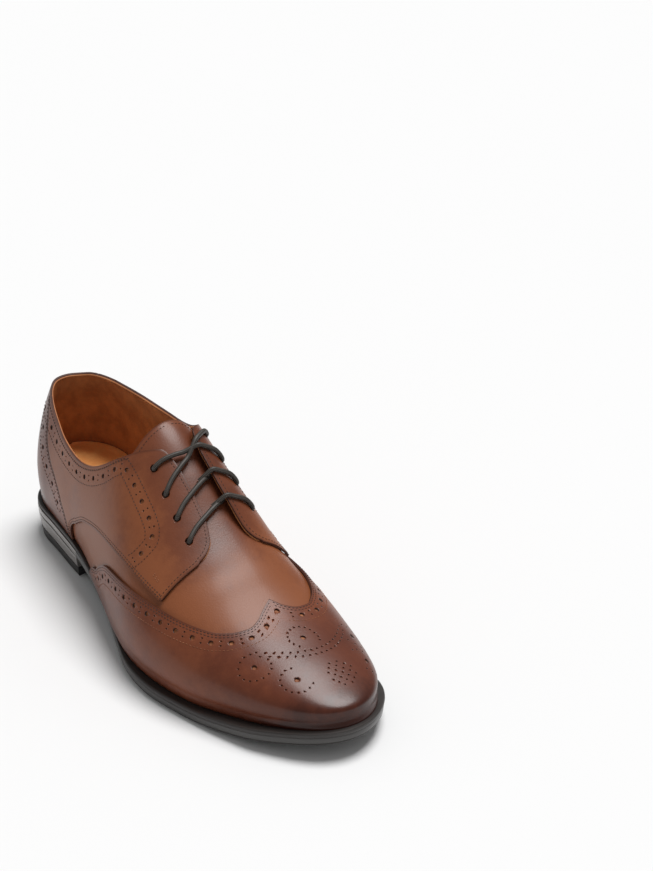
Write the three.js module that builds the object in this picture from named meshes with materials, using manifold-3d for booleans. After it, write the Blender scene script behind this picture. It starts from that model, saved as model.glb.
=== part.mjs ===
// Men's wing tip derby shoe for the right foot, empty, standing on its sole.
// Millimetres. X points to the outer side, Y to the toe, Z up from the floor.
// Stations are measured from the back edge of the sole, then the shoe is moved
// so that the middle of the heel's tread lies at the origin.
import * as THREE from 'three';
import { mergeVertices } from 'three/addons/utils/BufferGeometryUtils.js';
import Module from 'manifold-3d';

const wasm = await Module();
wasm.setup();

// Sole and heel
const soleLength = 302;
const ballWidth = 108;
const heelWidth = 58;
const heelLift = 14.2;
const toeSpring = 10;
const outsoleThickness = 4.4;
const weltThickness = 2.9;
const weltLip = 0.6;
const soleEdgeRound = 0.8;
const heelLength = 72;
const heelInset = 1.8;
const heelBreastCurve = 3;
const topPieceThickness = 6;
const insoleThickness = 3;
const toeRoundLength = 40;
const heelRoundLength = 32;

// Upper
const weltMargin = 5;
const toeMargin = 6;
const backMargin = 2.7;
const instepHeight = 99.2;
const toeBoxHeight = 26.2;
const bulgeHeight = 20;
const featherInset = 4;
const backHeight = 66;
const backLean = 4.2;
const backBulge = 1.5;
const capRoundLength = 41.7;
const collarBlend = 12;
const throatGirthPerMm = 0.012;
const upperWall = 1.6;
const overlayThickness = 1.3;
const outerFacingLift = 1;
const innerFacingLift = 5.3;

// Tongue, eyelets and lace
const tongueThickness = 2.2;
const tongueTop = 118;
const eyeletBore = 4.2;
const laceDiameter = 2.7;
const laceClearance = 0.7;

// Clearances: flat layers, curved leather on leather, and edge to edge at seams
const fit = 0.3;
const overlayFit = 0.45;
const seamGap = 0.75;

// Outline of the sole: station as a share of its length, how far the width has
// grown from the heel's to the ball's, and the outer side's share of the width.
const soleRows = [
  { at: 0.000, ball: -0.06, outer: 0.482 },
  { at: 0.106, ball: 0.00, outer: 0.466 },
  { at: 0.199, ball: 0.09, outer: 0.482 },
  { at: 0.298, ball: 0.11, outer: 0.521 },
  { at: 0.394, ball: 0.23, outer: 0.568 },
  { at: 0.480, ball: 0.51, outer: 0.580 },
  { at: 0.563, ball: 0.84, outer: 0.565 },
  { at: 0.646, ball: 0.99, outer: 0.540 },
  { at: 0.725, ball: 0.94, outer: 0.510 },
  { at: 0.811, ball: 0.74, outer: 0.485 },
  { at: 0.868, ball: 0.52, outer: 0.469 },
  { at: 0.927, ball: 0.31, outer: 0.436 },
  { at: 1.000, ball: 0.12, outer: 0.425 },
];

// Underside of the sole: shares of the heel lift and of the toe spring.
const profileRows = [
  { at: 0.000, heel: 1.04, toe: 0.00 },
  { at: 0.132, heel: 1.02, toe: 0.00 },
  { at: 0.258, heel: 0.92, toe: 0.00 },
  { at: 0.331, heel: 0.60, toe: 0.00 },
  { at: 0.414, heel: 0.28, toe: 0.00 },
  { at: 0.497, heel: 0.10, toe: 0.00 },
  { at: 0.579, heel: 0.02, toe: 0.00 },
  { at: 0.630, heel: 0.00, toe: 0.00 },
  { at: 0.700, heel: 0.00, toe: 0.00 },
  { at: 0.760, heel: 0.00, toe: 0.03 },
  { at: 0.828, heel: 0.00, toe: 0.22 },
  { at: 0.911, heel: 0.00, toe: 0.58 },
  { at: 1.000, heel: 0.00, toe: 1.02 },
];

// Sections of the last. outer and inner: how far the widest line stays inside
// the sole's edge, as a share of the welt margin. widest: its height as a share
// of the bulge height. instep and toe: shares of the two heights that make the
// ridge. lean: the ridge's shift as a share of the ball width. insetOuter and
// insetInner: the feather line inside the widest line, as shares of the feather
// inset. roundOuter and roundInner: fullness of each flank.
const lastRows = [
  { at: 0.000, outer: 0.98, inner: 0.13, widest: 1.00, instep: 0.79, toe: 0, lean: 0,
    insetOuter: 0.30, insetInner: 0.50, roundOuter: 1.80, roundInner: 2.40 },
  { at: 0.106, outer: 0.58, inner: 0.23, widest: 1.00, instep: 0.82, toe: 0, lean: 0,
    insetOuter: 0.40, insetInner: 0.63, roundOuter: 1.80, roundInner: 2.80 },
  { at: 0.199, outer: 0.25, inner: 0.19, widest: 1.00, instep: 0.905, toe: 0, lean: -0.009,
    insetOuter: 0.63, insetInner: 0.75, roundOuter: 1.80, roundInner: 2.90 },
  { at: 0.298, outer: -0.26, inner: -0.27, widest: 1.00, instep: 0.985, toe: 0, lean: -0.023,
    insetOuter: 0.75, insetInner: 1.00, roundOuter: 1.83, roundInner: 2.60 },
  { at: 0.394, outer: -0.47, inner: -0.63, widest: 0.95, instep: 1.00, toe: 0, lean: -0.042,
    insetOuter: 0.88, insetInner: 1.25, roundOuter: 1.85, roundInner: 2.35 },
  { at: 0.480, outer: -0.21, inner: -0.43, widest: 0.85, instep: 0.873, toe: 0, lean: -0.046,
    insetOuter: 1.00, insetInner: 1.12, roundOuter: 1.88, roundInner: 2.15 },
  { at: 0.563, outer: 0.41, inner: 0.23, widest: 0.75, instep: 0.716, toe: 0, lean: -0.046,
    insetOuter: 1.00, insetInner: 1.00, roundOuter: 1.95, roundInner: 2.05 },
  { at: 0.646, outer: 0.77, inner: 0.63, widest: 0.70, instep: 0.50, toe: 0.275, lean: -0.042,
    insetOuter: 1.00, insetInner: 0.88, roundOuter: 2.08, roundInner: 2.08 },
  { at: 0.725, outer: 0.87, inner: 0.93, widest: 0.65, instep: 0.30, toe: 0.56, lean: -0.037,
    insetOuter: 0.88, insetInner: 0.75, roundOuter: 2.13, roundInner: 2.13 },
  { at: 0.811, outer: 1.39, inner: 1.11, widest: 0.58, instep: 0.08, toe: 0.97, lean: -0.035,
    insetOuter: 0.75, insetInner: 0.63, roundOuter: 2.17, roundInner: 2.17 },
  { at: 0.868, outer: 1.47, inner: 0.99, widest: 0.53, instep: 0, toe: 1.00, lean: -0.037,
    insetOuter: 0.63, insetInner: 0.63, roundOuter: 2.19, roundInner: 2.19 },
  { at: 0.927, outer: 1.09, inner: 0.73, widest: 0.48, instep: 0, toe: 0.74, lean: -0.041,
    insetOuter: 0.50, insetInner: 0.50, roundOuter: 2.21, roundInner: 2.21 },
  { at: 1.000, outer: 0.83, inner: 0.33, widest: 0.42, instep: 0, toe: 0.49, lean: -0.044,
    insetOuter: 0.38, insetInner: 0.38, roundOuter: 2.25, roundInner: 2.25 },
];

// Collar line: height above the seat as a share of the back height, each side.
const collarRows = [
  { at: 0.000, outer: 1.010, inner: 1.010 },
  { at: 0.050, outer: 0.978, inner: 1.045 },
  { at: 0.083, outer: 0.934, inner: 1.042 },
  { at: 0.116, outer: 0.882, inner: 1.037 },
  { at: 0.149, outer: 0.838, inner: 1.032 },
  { at: 0.182, outer: 0.820, inner: 1.027 },
  { at: 0.219, outer: 0.815, inner: 1.031 },
  { at: 0.248, outer: 0.824, inner: 1.046 },
  { at: 0.278, outer: 0.856, inner: 1.067 },
  { at: 0.305, outer: 0.903, inner: 1.084 },
  { at: 0.328, outer: 0.962, inner: 1.099 },
  { at: 0.354, outer: 1.044, inner: 1.128 },
  { at: 0.374, outer: 1.108, inner: 1.165 },
  { at: 0.387, outer: 1.147, inner: 1.192 },
  { at: 0.407, outer: 1.199, inner: 1.229 },
  { at: 0.424, outer: 1.222, inner: 1.252 },
];

// Seams on the last: station as a share of the sole's length, and girth, which
// runs from 0 at the ridge to 1 at the feather line.
const throatRows = [
  { at: 0.380, girth: 0.266 },
  { at: 0.430, girth: 0.262 },
  { at: 0.497, girth: 0.24 },
  { at: 0.546, girth: 0.20 },
  { at: 0.580, girth: 0.13 },
  { at: 0.599, girth: 0.00 },
];
const facingRows = [
  { at: 0.424, girth: 0.125 },
  { at: 0.434, girth: 0.094 },
  { at: 0.462, girth: 0.071 },
  { at: 0.497, girth: 0.064 },
  { at: 0.543, girth: 0.063 },
  { at: 0.582, girth: 0.076 },
  { at: 0.607, girth: 0.110 },
  { at: 0.618, girth: 0.165 },
  { at: 0.622, girth: 0.240 },
  { at: 0.622, girth: 0.330 },
  { at: 0.617, girth: 0.400 },
];
const counterRows = [
  { at: 0.050, girth: 0.297 },
  { at: 0.079, girth: 0.400 },
  { at: 0.099, girth: 0.500 },
  { at: 0.124, girth: 0.570 },
  { at: 0.156, girth: 0.620 },
  { at: 0.188, girth: 0.700 },
  { at: 0.206, girth: 0.840 },
  { at: 0.213, girth: 1.000 },
];
const skirtRows = [
  { at: 0.219, girth: 1.000 },
  { at: 0.226, girth: 0.860 },
  { at: 0.248, girth: 0.720 },
  { at: 0.286, girth: 0.640 },
  { at: 0.333, girth: 0.590 },
  { at: 0.417, girth: 0.528 },
  { at: 0.504, girth: 0.462 },
  { at: 0.575, girth: 0.420 },
  { at: 0.617, girth: 0.400 },
];
const wingOuterRows = [
  { at: 0.315, girth: 1.000 },
  { at: 0.335, girth: 0.860 },
  { at: 0.370, girth: 0.710 },
  { at: 0.420, girth: 0.610 },
  { at: 0.505, girth: 0.530 },
  { at: 0.576, girth: 0.466 },
  { at: 0.630, girth: 0.420 },
  { at: 0.674, girth: 0.381 },
  { at: 0.711, girth: 0.338 },
  { at: 0.741, girth: 0.285 },
  { at: 0.759, girth: 0.209 },
  { at: 0.763, girth: 0.160 },
  { at: 0.757, girth: 0.110 },
  { at: 0.744, girth: 0.060 },
  { at: 0.728, girth: 0.000 },
];
const wingInnerRows = [
  { at: 0.360, girth: 1.000 },
  { at: 0.375, girth: 0.870 },
  { at: 0.405, girth: 0.740 },
  { at: 0.450, girth: 0.650 },
  { at: 0.520, girth: 0.560 },
  { at: 0.585, girth: 0.480 },
  { at: 0.635, girth: 0.420 },
  { at: 0.674, girth: 0.375 },
  { at: 0.708, girth: 0.325 },
  { at: 0.739, girth: 0.250 },
  { at: 0.755, girth: 0.180 },
  { at: 0.757, girth: 0.130 },
  { at: 0.750, girth: 0.070 },
  { at: 0.728, girth: 0.000 },
];
const eyeletRows = [
  { outerAt: 0.447, innerAt: 0.426 },
  { outerAt: 0.494, innerAt: 0.473 },
  { outerAt: 0.537, innerAt: 0.516 },
  { outerAt: 0.580, innerAt: 0.562 },
];
const eyeletGirth = { outer: 0.165, inner: 0.215 };

// Smooth curve through one column of a table
function column(rows, name, at) {
  const last = rows.length - 1;
  let k = 0;
  while (k < last - 1 && at > rows[k + 1].at) k += 1;
  const step = (i) => (rows[i + 1][name] - rows[i][name]) / (rows[i + 1].at - rows[i].at);
  const slope = (i) => {
    if (i === 0) return step(0);
    if (i === last) return step(last - 1);
    const before = rows[i].at - rows[i - 1].at;
    const after = rows[i + 1].at - rows[i].at;
    return (step(i - 1) * after + step(i) * before) / (before + after);
  };
  const h = rows[k + 1].at - rows[k].at;
  const t = THREE.MathUtils.clamp((at - rows[k].at) / h, 0, 1);
  const a = (1 + 2 * t) * (1 - t) * (1 - t) * rows[k][name];
  const b = t * (1 - t) * (1 - t) * h * slope(k);
  const c = t * t * (3 - 2 * t) * rows[k + 1][name];
  const d = t * t * (t - 1) * h * slope(k + 1);
  return a + b + c + d;
}

// Fullness of the rounded ends, in plan and over the toe
const soleToePower = 2;
const lastToePower = 2.05;
const heelPower = 2.2;
const toeTopPower = 2.2;
const backLeanPower = 1.6;
const backLeanReach = 0.2;

const roundEnd = (t, power) => Math.pow(Math.max(1 - Math.pow(t, power), 0), 1 / power);

// Sole: width, edges, underside and seat at a station
function soleWidth(at) {
  return heelWidth + (ballWidth - heelWidth) * column(soleRows, 'ball', at);
}

function soleEdges(y, grow = 0) {
  const at = y / soleLength;
  const width = soleWidth(at);
  const middle = width * (column(soleRows, 'outer', at) - 0.5);
  const toe = Math.max(0, (y - soleLength + toeRoundLength) / (toeRoundLength + grow));
  const heel = Math.max(0, (heelRoundLength - y) / (heelRoundLength + grow));
  const ends = roundEnd(Math.min(toe, 1), soleToePower) * roundEnd(Math.min(heel, 1), heelPower);
  const half = (width / 2 + grow) * ends;
  return { outer: middle + half, inner: middle - half };
}

function undersideHeight(y) {
  const at = y / soleLength;
  const heel = heelLift * column(profileRows, 'heel', at);
  const toe = toeSpring * column(profileRows, 'toe', at);
  return Math.max(0, heel + toe);
}

const edgeHeight = outsoleThickness + fit + weltThickness;
const seatHeight = (y) => undersideHeight(y) + edgeHeight;
const featherHeight = (y) => seatHeight(y) + fit;

// Upper: a point of the last, grown outwards by a distance
const lastBack = backMargin;
const lastToe = soleLength - toeMargin;
const toeRoundStart = lastToe - capRoundLength;
const widestGirth = 0.68;

function backShift(height) {
  const rise = height - featherHeight(0);
  const bulge = THREE.MathUtils.smoothstep(rise, 0, bulgeHeight) * backBulge;
  const top = backHeight - bulgeHeight;
  const lean = Math.max(0, (rise - bulgeHeight) / top);
  return (backLean + backBulge) * Math.pow(lean, backLeanPower) - bulge;
}

function lastPoint(y, girth, side, grow = 0) {
  const at = y / soleLength;
  const value = (name) => column(lastRows, name, at);
  const width = soleWidth(at);
  const share = column(soleRows, 'outer', at);
  const outerX = width * share - weltMargin * value('outer');
  const innerX = width * (share - 1) + weltMargin * value('inner');
  const toe = THREE.MathUtils.clamp((y - toeRoundStart) / capRoundLength, 0, 1);
  const heel = THREE.MathUtils.clamp((heelRoundLength - y) / (heelRoundLength - lastBack), 0, 1);
  const cap = roundEnd(toe, lastToePower) * roundEnd(heel, heelPower);
  const middle = (outerX + innerX) / 2;
  const half = ((outerX - innerX) / 2 + grow) * cap;
  const outward = side > 0 ? 1 : -1;
  const inset = featherInset * cap * value(side > 0 ? 'insetOuter' : 'insetInner');
  const even = (value('roundOuter') + value('roundInner')) / 2;
  const power = even + (value(side > 0 ? 'roundOuter' : 'roundInner') - even) * cap;
  const bottom = featherHeight(y);
  const widest = bottom + bulgeHeight * value('widest');
  const ridge = bottom + instepHeight * value('instep') + toeBoxHeight * value('toe');
  const top = widest + (ridge + grow - widest) * roundEnd(toe, toeTopPower);
  const ridgeX = middle + (ballWidth * value('lean') - middle) * cap;
  let x = 0;
  let z = 0;
  if (girth <= widestGirth) {
    const turn = (1 - girth / widestGirth) * Math.PI / 2;
    const across = Math.cos(turn);
    const up = Math.sin(turn);
    const reach = Math.pow(Math.pow(across, power) + Math.pow(up, power), -1 / power);
    x = ridgeX + (middle + outward * half - ridgeX) * reach * across;
    z = widest + (top - widest) * reach * up;
  } else {
    const rise = (1 - girth) / (1 - widestGirth);
    x = middle + outward * (half - inset * (1 - rise) * (1 - rise));
    z = bottom + (widest - bottom) * rise;
  }
  const stretched = y + grow * (toe - heel);
  const fade = 1 - THREE.MathUtils.smoothstep(y, 0, backLeanReach * soleLength);
  return new THREE.Vector3(x, stretched + backShift(z) * fade, z);
}

// Girth at which a section reaches a height, found by halving
const halvings = 30;

function girthAtHeight(y, side, height) {
  let low = 0;
  let high = 1;
  for (let i = 0; i < halvings; i += 1) {
    const middle = (low + high) / 2;
    if (lastPoint(y, middle, side).z > height) low = middle;
    else high = middle;
  }
  return low;
}

function collarPoint(y, side) {
  const outer = column(collarRows, 'outer', y / soleLength);
  const inner = column(collarRows, 'inner', y / soleLength);
  const even = (outer + inner) / 2;
  const own = side > 0 ? outer : inner;
  const share = even + (own - even) * THREE.MathUtils.smoothstep(y, lastBack, collarBlend);
  return { y, girth: girthAtHeight(y, side, featherHeight(0) + backHeight * share) };
}

// Lines on the last: points with a station and a girth
const lineSteps = 40;

const seamSteps = 6;

function seam(rows, steps = seamSteps) {
  const points = rows.map((row) => new THREE.Vector3(row.at * soleLength, row.girth, 0));
  const curve = new THREE.CatmullRomCurve3(points, false, 'centripetal');
  const line = [];
  for (let i = 0; i < points.length - 1; i += 1) {
    for (let j = 0; j < steps; j += 1) {
      const p = curve.getPoint((i + j / steps) / (points.length - 1));
      line.push({ y: p.x, girth: Math.max(0, p.y) });
    }
  }
  const end = points[points.length - 1];
  line.push({ y: end.x, girth: end.y });
  return line;
}

function straight(from, to) {
  const line = [];
  for (let i = 0; i <= lineSteps; i += 1) {
    const t = i / lineSteps;
    line.push({ y: from.y + (to.y - from.y) * t, girth: from.girth + (to.girth - from.girth) * t });
  }
  return line;
}

// Collar line, with its points closer together at the back
function collar(fromY, toY, side) {
  const line = [];
  for (let i = 0; i <= lineSteps; i += 1) {
    const t = i / lineSteps;
    line.push(collarPoint(fromY + (toY - fromY) * t * t * (2 - t), side));
  }
  return line;
}

// A line crowded towards the round end of the last
function towardsEnd(from, to, girth) {
  const line = [];
  for (let i = 0; i <= lineSteps; i += 1) {
    const t = Math.sin((i / lineSteps) * Math.PI / 2);
    line.push({ y: from + (to - from) * t, girth });
  }
  return line;
}

// The same number of points on any line, evenly spaced on the last or, with a
// lead above 0, closer together at its start
function spread(line, side, count, lead = 0) {
  const at = line.map((p) => lastPoint(p.y, p.girth, side));
  const run = [0];
  for (let i = 1; i < at.length; i += 1) run.push(run[i - 1] + at[i].distanceTo(at[i - 1]));
  const total = run[run.length - 1];
  const result = [];
  let k = 0;
  for (let i = 0; i <= count; i += 1) {
    const share = i / count;
    const want = total * (share - lead * share * (1 - share));
    while (k < run.length - 2 && run[k + 1] < want) k += 1;
    const t = THREE.MathUtils.clamp((want - run[k]) / (run[k + 1] - run[k] || 1), 0, 1);
    const a = line[k];
    const b = line[k + 1];
    result.push({ y: a.y + (b.y - a.y) * t, girth: a.girth + (b.girth - a.girth) * t });
  }
  return result;
}

// Closed mesh from a list of triangles, with doubles merged and slivers dropped
function closedGeometry(triangles) {
  const positions = new Float32Array(triangles.flat().flatMap((p) => [p.x, p.y, p.z]));
  const raw = new THREE.BufferGeometry();
  raw.setAttribute('position', new THREE.BufferAttribute(positions, 3));
  const merged = mergeVertices(raw, 1e-3);
  const source = merged.index.array;
  const kept = [];
  for (let i = 0; i < source.length; i += 3) {
    const a = source[i];
    const b = source[i + 1];
    const c = source[i + 2];
    if (a !== b && b !== c && c !== a) kept.push(a, b, c);
  }
  merged.setIndex(kept);
  return merged;
}

// Wall between an outer and an inner grid of points, columns first. Each quad
// is split along its shorter diagonal, and a rim closes the sides that stay open.
function wallTriangles(side, outside, inside, open) {
  const triangles = [];
  const quad = (a, b, c, d) => {
    const short = a.distanceTo(c) <= b.distanceTo(d);
    const faces = short ? [[a, b, c], [a, c, d]] : [[a, b, d], [b, c, d]];
    faces.forEach((f) => triangles.push(side < 0 ? [f[0], f[2], f[1]] : f));
  };
  const columns = outside.length - 1;
  const rows = outside[0].length - 1;
  for (let i = 0; i < columns; i += 1) {
    for (let j = 0; j < rows; j += 1) {
      quad(outside[i][j], outside[i + 1][j], outside[i + 1][j + 1], outside[i][j + 1]);
      quad(inside[i][j], inside[i][j + 1], inside[i + 1][j + 1], inside[i + 1][j]);
    }
    quad(inside[i][0], inside[i + 1][0], outside[i + 1][0], outside[i][0]);
    if (open.top(i)) quad(outside[i][rows], outside[i + 1][rows], inside[i + 1][rows], inside[i][rows]);
  }
  for (let j = 0; j < rows; j += 1) {
    const n = columns;
    if (open.start) quad(inside[0][j], outside[0][j], outside[0][j + 1], inside[0][j + 1]);
    if (open.end) quad(outside[n][j], inside[n][j], inside[n][j + 1], outside[n][j + 1]);
  }
  return triangles;
}

// Grid on the last from a lower line to an upper line. A bend above 1 keeps a
// column at its lower station for longer, before it turns to its upper one.
function ruledGrid(side, lower, upper, rows, grow, bend = () => 1) {
  return lower.map((low, i) => {
    const high = upper[i];
    const line = [];
    for (let j = 0; j <= rows; j += 1) {
      const t = j / rows;
      const y = low.y + (high.y - low.y) * Math.pow(t, bend(i));
      line.push(lastPoint(y, low.girth + (high.girth - low.girth) * t, side, grow));
    }
    return line;
  });
}

// Grid on the last inside four lines; a lift may raise it in places
function framedGrid(side, lines, grow, lift = () => 0) {
  const { low, high, start, end } = lines;
  const columns = low.length - 1;
  const rows = start.length - 1;
  const blend = (i, j, name) => {
    const u = i / columns;
    const v = j / rows;
    const ruled = (1 - v) * low[i][name] + v * high[i][name];
    const sides = (1 - u) * start[j][name] + u * end[j][name];
    const lowCorners = (1 - u) * low[0][name] + u * low[columns][name];
    const highCorners = (1 - u) * high[0][name] + u * high[columns][name];
    return ruled + sides - (1 - v) * lowCorners - v * highCorners;
  };
  return low.map((p, i) => start.map((q, j) => {
    const y = blend(i, j, 'y');
    const girth = Math.max(0, blend(i, j, 'girth'));
    return lastPoint(y, girth, side, grow + lift(y, girth));
  }));
}

// Loft through closed rings of equal count, with fans at both ends
function loft(rings) {
  const triangles = [];
  const count = rings[0].length;
  for (let i = 0; i < rings.length - 1; i += 1) {
    for (let j = 0; j < count; j += 1) {
      const k = (j + 1) % count;
      triangles.push([rings[i][j], rings[i][k], rings[i + 1][k]]);
      triangles.push([rings[i][j], rings[i + 1][k], rings[i + 1][j]]);
    }
  }
  const fan = (ring, turn) => {
    const centre = new THREE.Vector3();
    ring.forEach((p) => centre.add(p));
    centre.divideScalar(count);
    for (let j = 0; j < count; j += 1) {
      const k = (j + 1) % count;
      triangles.push(turn ? [centre, ring[k], ring[j]] : [centre, ring[j], ring[k]]);
    }
  };
  const size = (ring) => Math.max(...ring.map((p) => Math.abs(p.x - ring[0].x)));
  if (size(rings[0]) > 0.01) fan(rings[0], true);
  if (size(rings[rings.length - 1]) > 0.01) fan(rings[rings.length - 1], false);
  return closedGeometry(triangles);
}

// A layer of the sole between two heights, with its edges rounded
function layerRing(y, edges, low, high, round) {
  const width = edges.outer - edges.inner;
  const r = Math.min(round, width / 4, (high - low) / 3);
  const section = [
    [edges.outer - r, low], [edges.outer, low + r], [edges.outer, high - r], [edges.outer - r, high],
    [edges.inner + r, high], [edges.inner, high - r], [edges.inner, low + r], [edges.inner + r, low],
  ];
  return section.map(([x, z]) => new THREE.Vector3(x, y, z)).reverse();
}

// Stations crowded towards both round ends, or towards the first one alone
const crowding = 0.75;

function stations(from, to, count, endOnly = false) {
  const list = [];
  for (let i = 0; i <= count; i += 1) {
    const t = i / count;
    const both = (1 - Math.cos(Math.PI * t)) / 2;
    const start = 1 - Math.cos(Math.PI * t / 2);
    const eased = crowding * (endOnly ? start : both) + (1 - crowding) * t;
    list.push(from + (to - from) * eased);
  }
  return list;
}

function soleLayer(from, to, grow, base, thickness, count) {
  const rings = stations(from - grow, to + grow, count).map((y) => {
    const held = THREE.MathUtils.clamp(y, from, to);
    const low = base(held);
    return layerRing(y, soleEdges(y, grow), low, low + thickness, soleEdgeRound);
  });
  return loft(rings);
}

const soleStations = 32;
const outsole = soleLayer(0, soleLength, 0, undersideHeight, outsoleThickness, soleStations);
const weltBase = (y) => undersideHeight(y) + outsoleThickness + fit;
const welt = soleLayer(0, soleLength, weltLip, weltBase, weltThickness, soleStations);

// Heel: a stacked base with a slightly hollow front, on a rubber top piece
function heelPart(low, high, inset, count) {
  const middle = heelLength / 2;
  const rings = stations(inset, heelLength, count, true).map((y) => {
    const edges = soleEdges(y, -inset);
    const width = edges.outer - edges.inner;
    const r = Math.min(soleEdgeRound, width / 4);
    const bow = (x) => {
      const off = (2 * x - edges.outer - edges.inner) / heelWidth;
      return THREE.MathUtils.smoothstep(y, middle, heelLength) * heelBreastCurve * (1 - off * off);
    };
    const corners = [];
    const place = (x, z) => corners.push(new THREE.Vector3(x, y - bow(x), z));
    const across = [1, 0.5, 0, -0.5, -1];
    const centre = (edges.outer + edges.inner) / 2;
    const at = (share, trim) => centre + share * (width / 2 - trim * r);
    place(edges.outer, low(y) + r);
    place(edges.outer, high(y - bow(edges.outer)));
    across.slice(1, -1).forEach((s) => place(at(s, 0), high(y - bow(at(s, 0)))));
    place(edges.inner, high(y - bow(edges.inner)));
    place(edges.inner, low(y) + r);
    [...across].reverse().forEach((s) => place(at(s, 1), low(y)));
    return corners.reverse();
  });
  return loft(rings);
}

const heelStations = 12;
const heelTopPiece = heelPart(() => 0, () => topPieceThickness, heelInset, heelStations);
const heelBaseLow = topPieceThickness + fit;
const heelBaseHigh = (y) => undersideHeight(Math.max(y, 0)) - fit;
const heelBase = heelPart(() => heelBaseLow, heelBaseHigh, heelInset, heelStations);

// Insole: fills the inside of the feather line
function insoleRing(y) {
  const back = lastPoint(y, 1, 1, -upperWall - overlayFit);
  const front = lastPoint(y, 1, -1, -upperWall - overlayFit);
  const low = seatHeight(y) + fit;
  return layerRing(back.y, { outer: back.x, inner: front.x }, low, low + insoleThickness, soleEdgeRound);
}
const insole = loft(stations(lastBack, lastToe, 28).map(insoleRing));

// Upper: vamp and quarters with their lining, one hollow wall
const collarEnd = throatRows[0].at * soleLength;
const throatEnd = throatRows[throatRows.length - 1].at * soleLength;

// Edge of the throat, from a station down to its rounded end
function throatLine(fromY, trim = 0) {
  const line = [];
  const toY = throatEnd - trim;
  for (let i = 0; i <= lineSteps; i += 1) {
    const y = fromY + (toY - fromY) * Math.sin((i / lineSteps) * Math.PI / 2);
    const girth = column(throatRows, 'girth', (y + trim) / soleLength) - trim * throatGirthPerMm;
    line.push({ y, girth: Math.max(0, girth) });
  }
  line[lineSteps].girth = 0;
  return line;
}

function upperHalf(side) {
  const count = { collar: 12, throat: 9, crest: 13 };
  const open = count.collar + count.throat;
  const columns = open + count.crest;
  const rows = 9;
  const feather = [
    ...towardsEnd(soleLength / 2, lastBack, 1).reverse(),
    ...towardsEnd(soleLength / 2, lastToe, 1).slice(1),
  ];
  const top = [
    ...spread(collar(lastBack, collarEnd, side), side, count.collar),
    ...spread(throatLine(collarEnd), side, count.throat).slice(1),
    ...spread(towardsEnd(throatEnd, lastToe, 0), side, count.crest).slice(1),
  ];
  const foot = spread(feather, side, columns);
  const outside = ruledGrid(side, foot, top, rows, 0);
  const inside = ruledGrid(side, foot, top, rows, -upperWall);
  return wallTriangles(side, outside, inside, { start: false, end: false, top: (i) => i < open });
}
const upper = closedGeometry([...upperHalf(1), ...upperHalf(-1)]);

// Tongue: fills the throat in the thickness of the vamp
function tongueHalf(side) {
  const columns = 10;
  const rows = 5;
  const lower = spread(throatLine(tongueTop, seamGap), side, columns);
  const crest = straight({ y: tongueTop, girth: 0 }, { y: throatEnd - seamGap, girth: 0 });
  const ridge = spread(crest, side, columns);
  const outside = ruledGrid(side, lower, ridge, rows, 0);
  const inside = ruledGrid(side, lower, ridge, rows, -tongueThickness);
  return wallTriangles(side, outside, inside, { start: true, end: true, top: () => false });
}
const tongue = closedGeometry([...tongueHalf(1), ...tongueHalf(-1)]);

// Wing cap: its tail and its edge follow the seam, then the ridge to the toe. Its
// columns bend round the bay beside the peak, most of all the one at the peak.
const overlayGrow = overlayFit + overlayThickness;
const wingFootShare = 0.85;
const wingBend = 4;

function wingHalf(side) {
  const edge = seam(side > 0 ? wingOuterRows : wingInnerRows);
  const tail = edge[0].y;
  const peak = edge[edge.length - 1].y;
  const footY = wingFootShare * soleLength;
  const along = 18;
  const ahead = 11;
  const rows = 9;
  const top = [
    ...spread(edge, side, along),
    ...spread(towardsEnd(peak, lastToe, 0), side, ahead).slice(1),
  ];
  const foot = [
    ...spread(straight({ y: tail, girth: 1 }, { y: footY, girth: 1 }), side, along),
    ...spread(towardsEnd(footY, lastToe, 1), side, ahead).slice(1),
  ];
  const nearPeak = (i) => 1 - Math.abs(i - along) / (i < along ? along : ahead);
  const bend = (i) => 1 + (wingBend - 1) * nearPeak(i) ** 2;
  const outside = ruledGrid(side, foot, top, rows, overlayGrow, bend);
  const inside = ruledGrid(side, foot, top, rows, overlayFit, bend);
  return wallTriangles(side, outside, inside, { start: false, end: false, top: (i) => i < along });
}
const wingCap = closedGeometry([...wingHalf(1), ...wingHalf(-1)]);

// Heel counter: wraps the back between its two seams
function counterHalf(side) {
  const edge = seam(counterRows);
  edge[0] = collarPoint(edge[0].y, side);
  const top = collar(lastBack, edge[0].y, side);
  const foot = towardsEnd(edge[edge.length - 1].y, lastBack, 1).reverse();
  const across = 10;
  const rows = 9;
  const lines = {
    low: spread(foot, side, across),
    high: spread(top, side, across),
    start: spineLine(side, rows),
    end: spread([...edge].reverse(), side, rows),
  };
  const outside = framedGrid(side, lines, overlayGrow);
  const inside = framedGrid(side, lines, overlayFit);
  return wallTriangles(side, outside, inside, { start: false, end: true, top: () => true });
}

// Back seam line from the feather up to the collar
function spineLine(side, rows) {
  const top = collarPoint(lastBack, side);
  return spread(straight({ y: lastBack, girth: 1 }, top), side, rows);
}

const heelCounter = closedGeometry([...counterHalf(1), ...counterHalf(-1)]);

// Quarters with their facings; the edge at the throat stands off the tongue.
// It rises towards the ridge, and over these shares of the sole's length.
const liftGirth = { full: 0.1, none: 0.45 };
const liftBegins = { from: 0.25, to: 0.42 };
const liftEnds = { from: 0.55, to: 0.625 };

function facingLift(side) {
  const height = side > 0 ? outerFacingLift : innerFacingLift;
  return (y, girth) => {
    const at = y / soleLength;
    const near = 1 - THREE.MathUtils.smoothstep(girth, liftGirth.full, liftGirth.none);
    const along = THREE.MathUtils.smoothstep(at, liftBegins.from, liftBegins.to);
    const front = 1 - THREE.MathUtils.smoothstep(at, liftEnds.from, liftEnds.to);
    return height * near * along * front;
  };
}

// Row of the facing line at which it turns round the front corner, and how
// closely the columns stand together at the tail of the skirt
const facingTurn = 6;
const skirtLead = 0.6;

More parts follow.
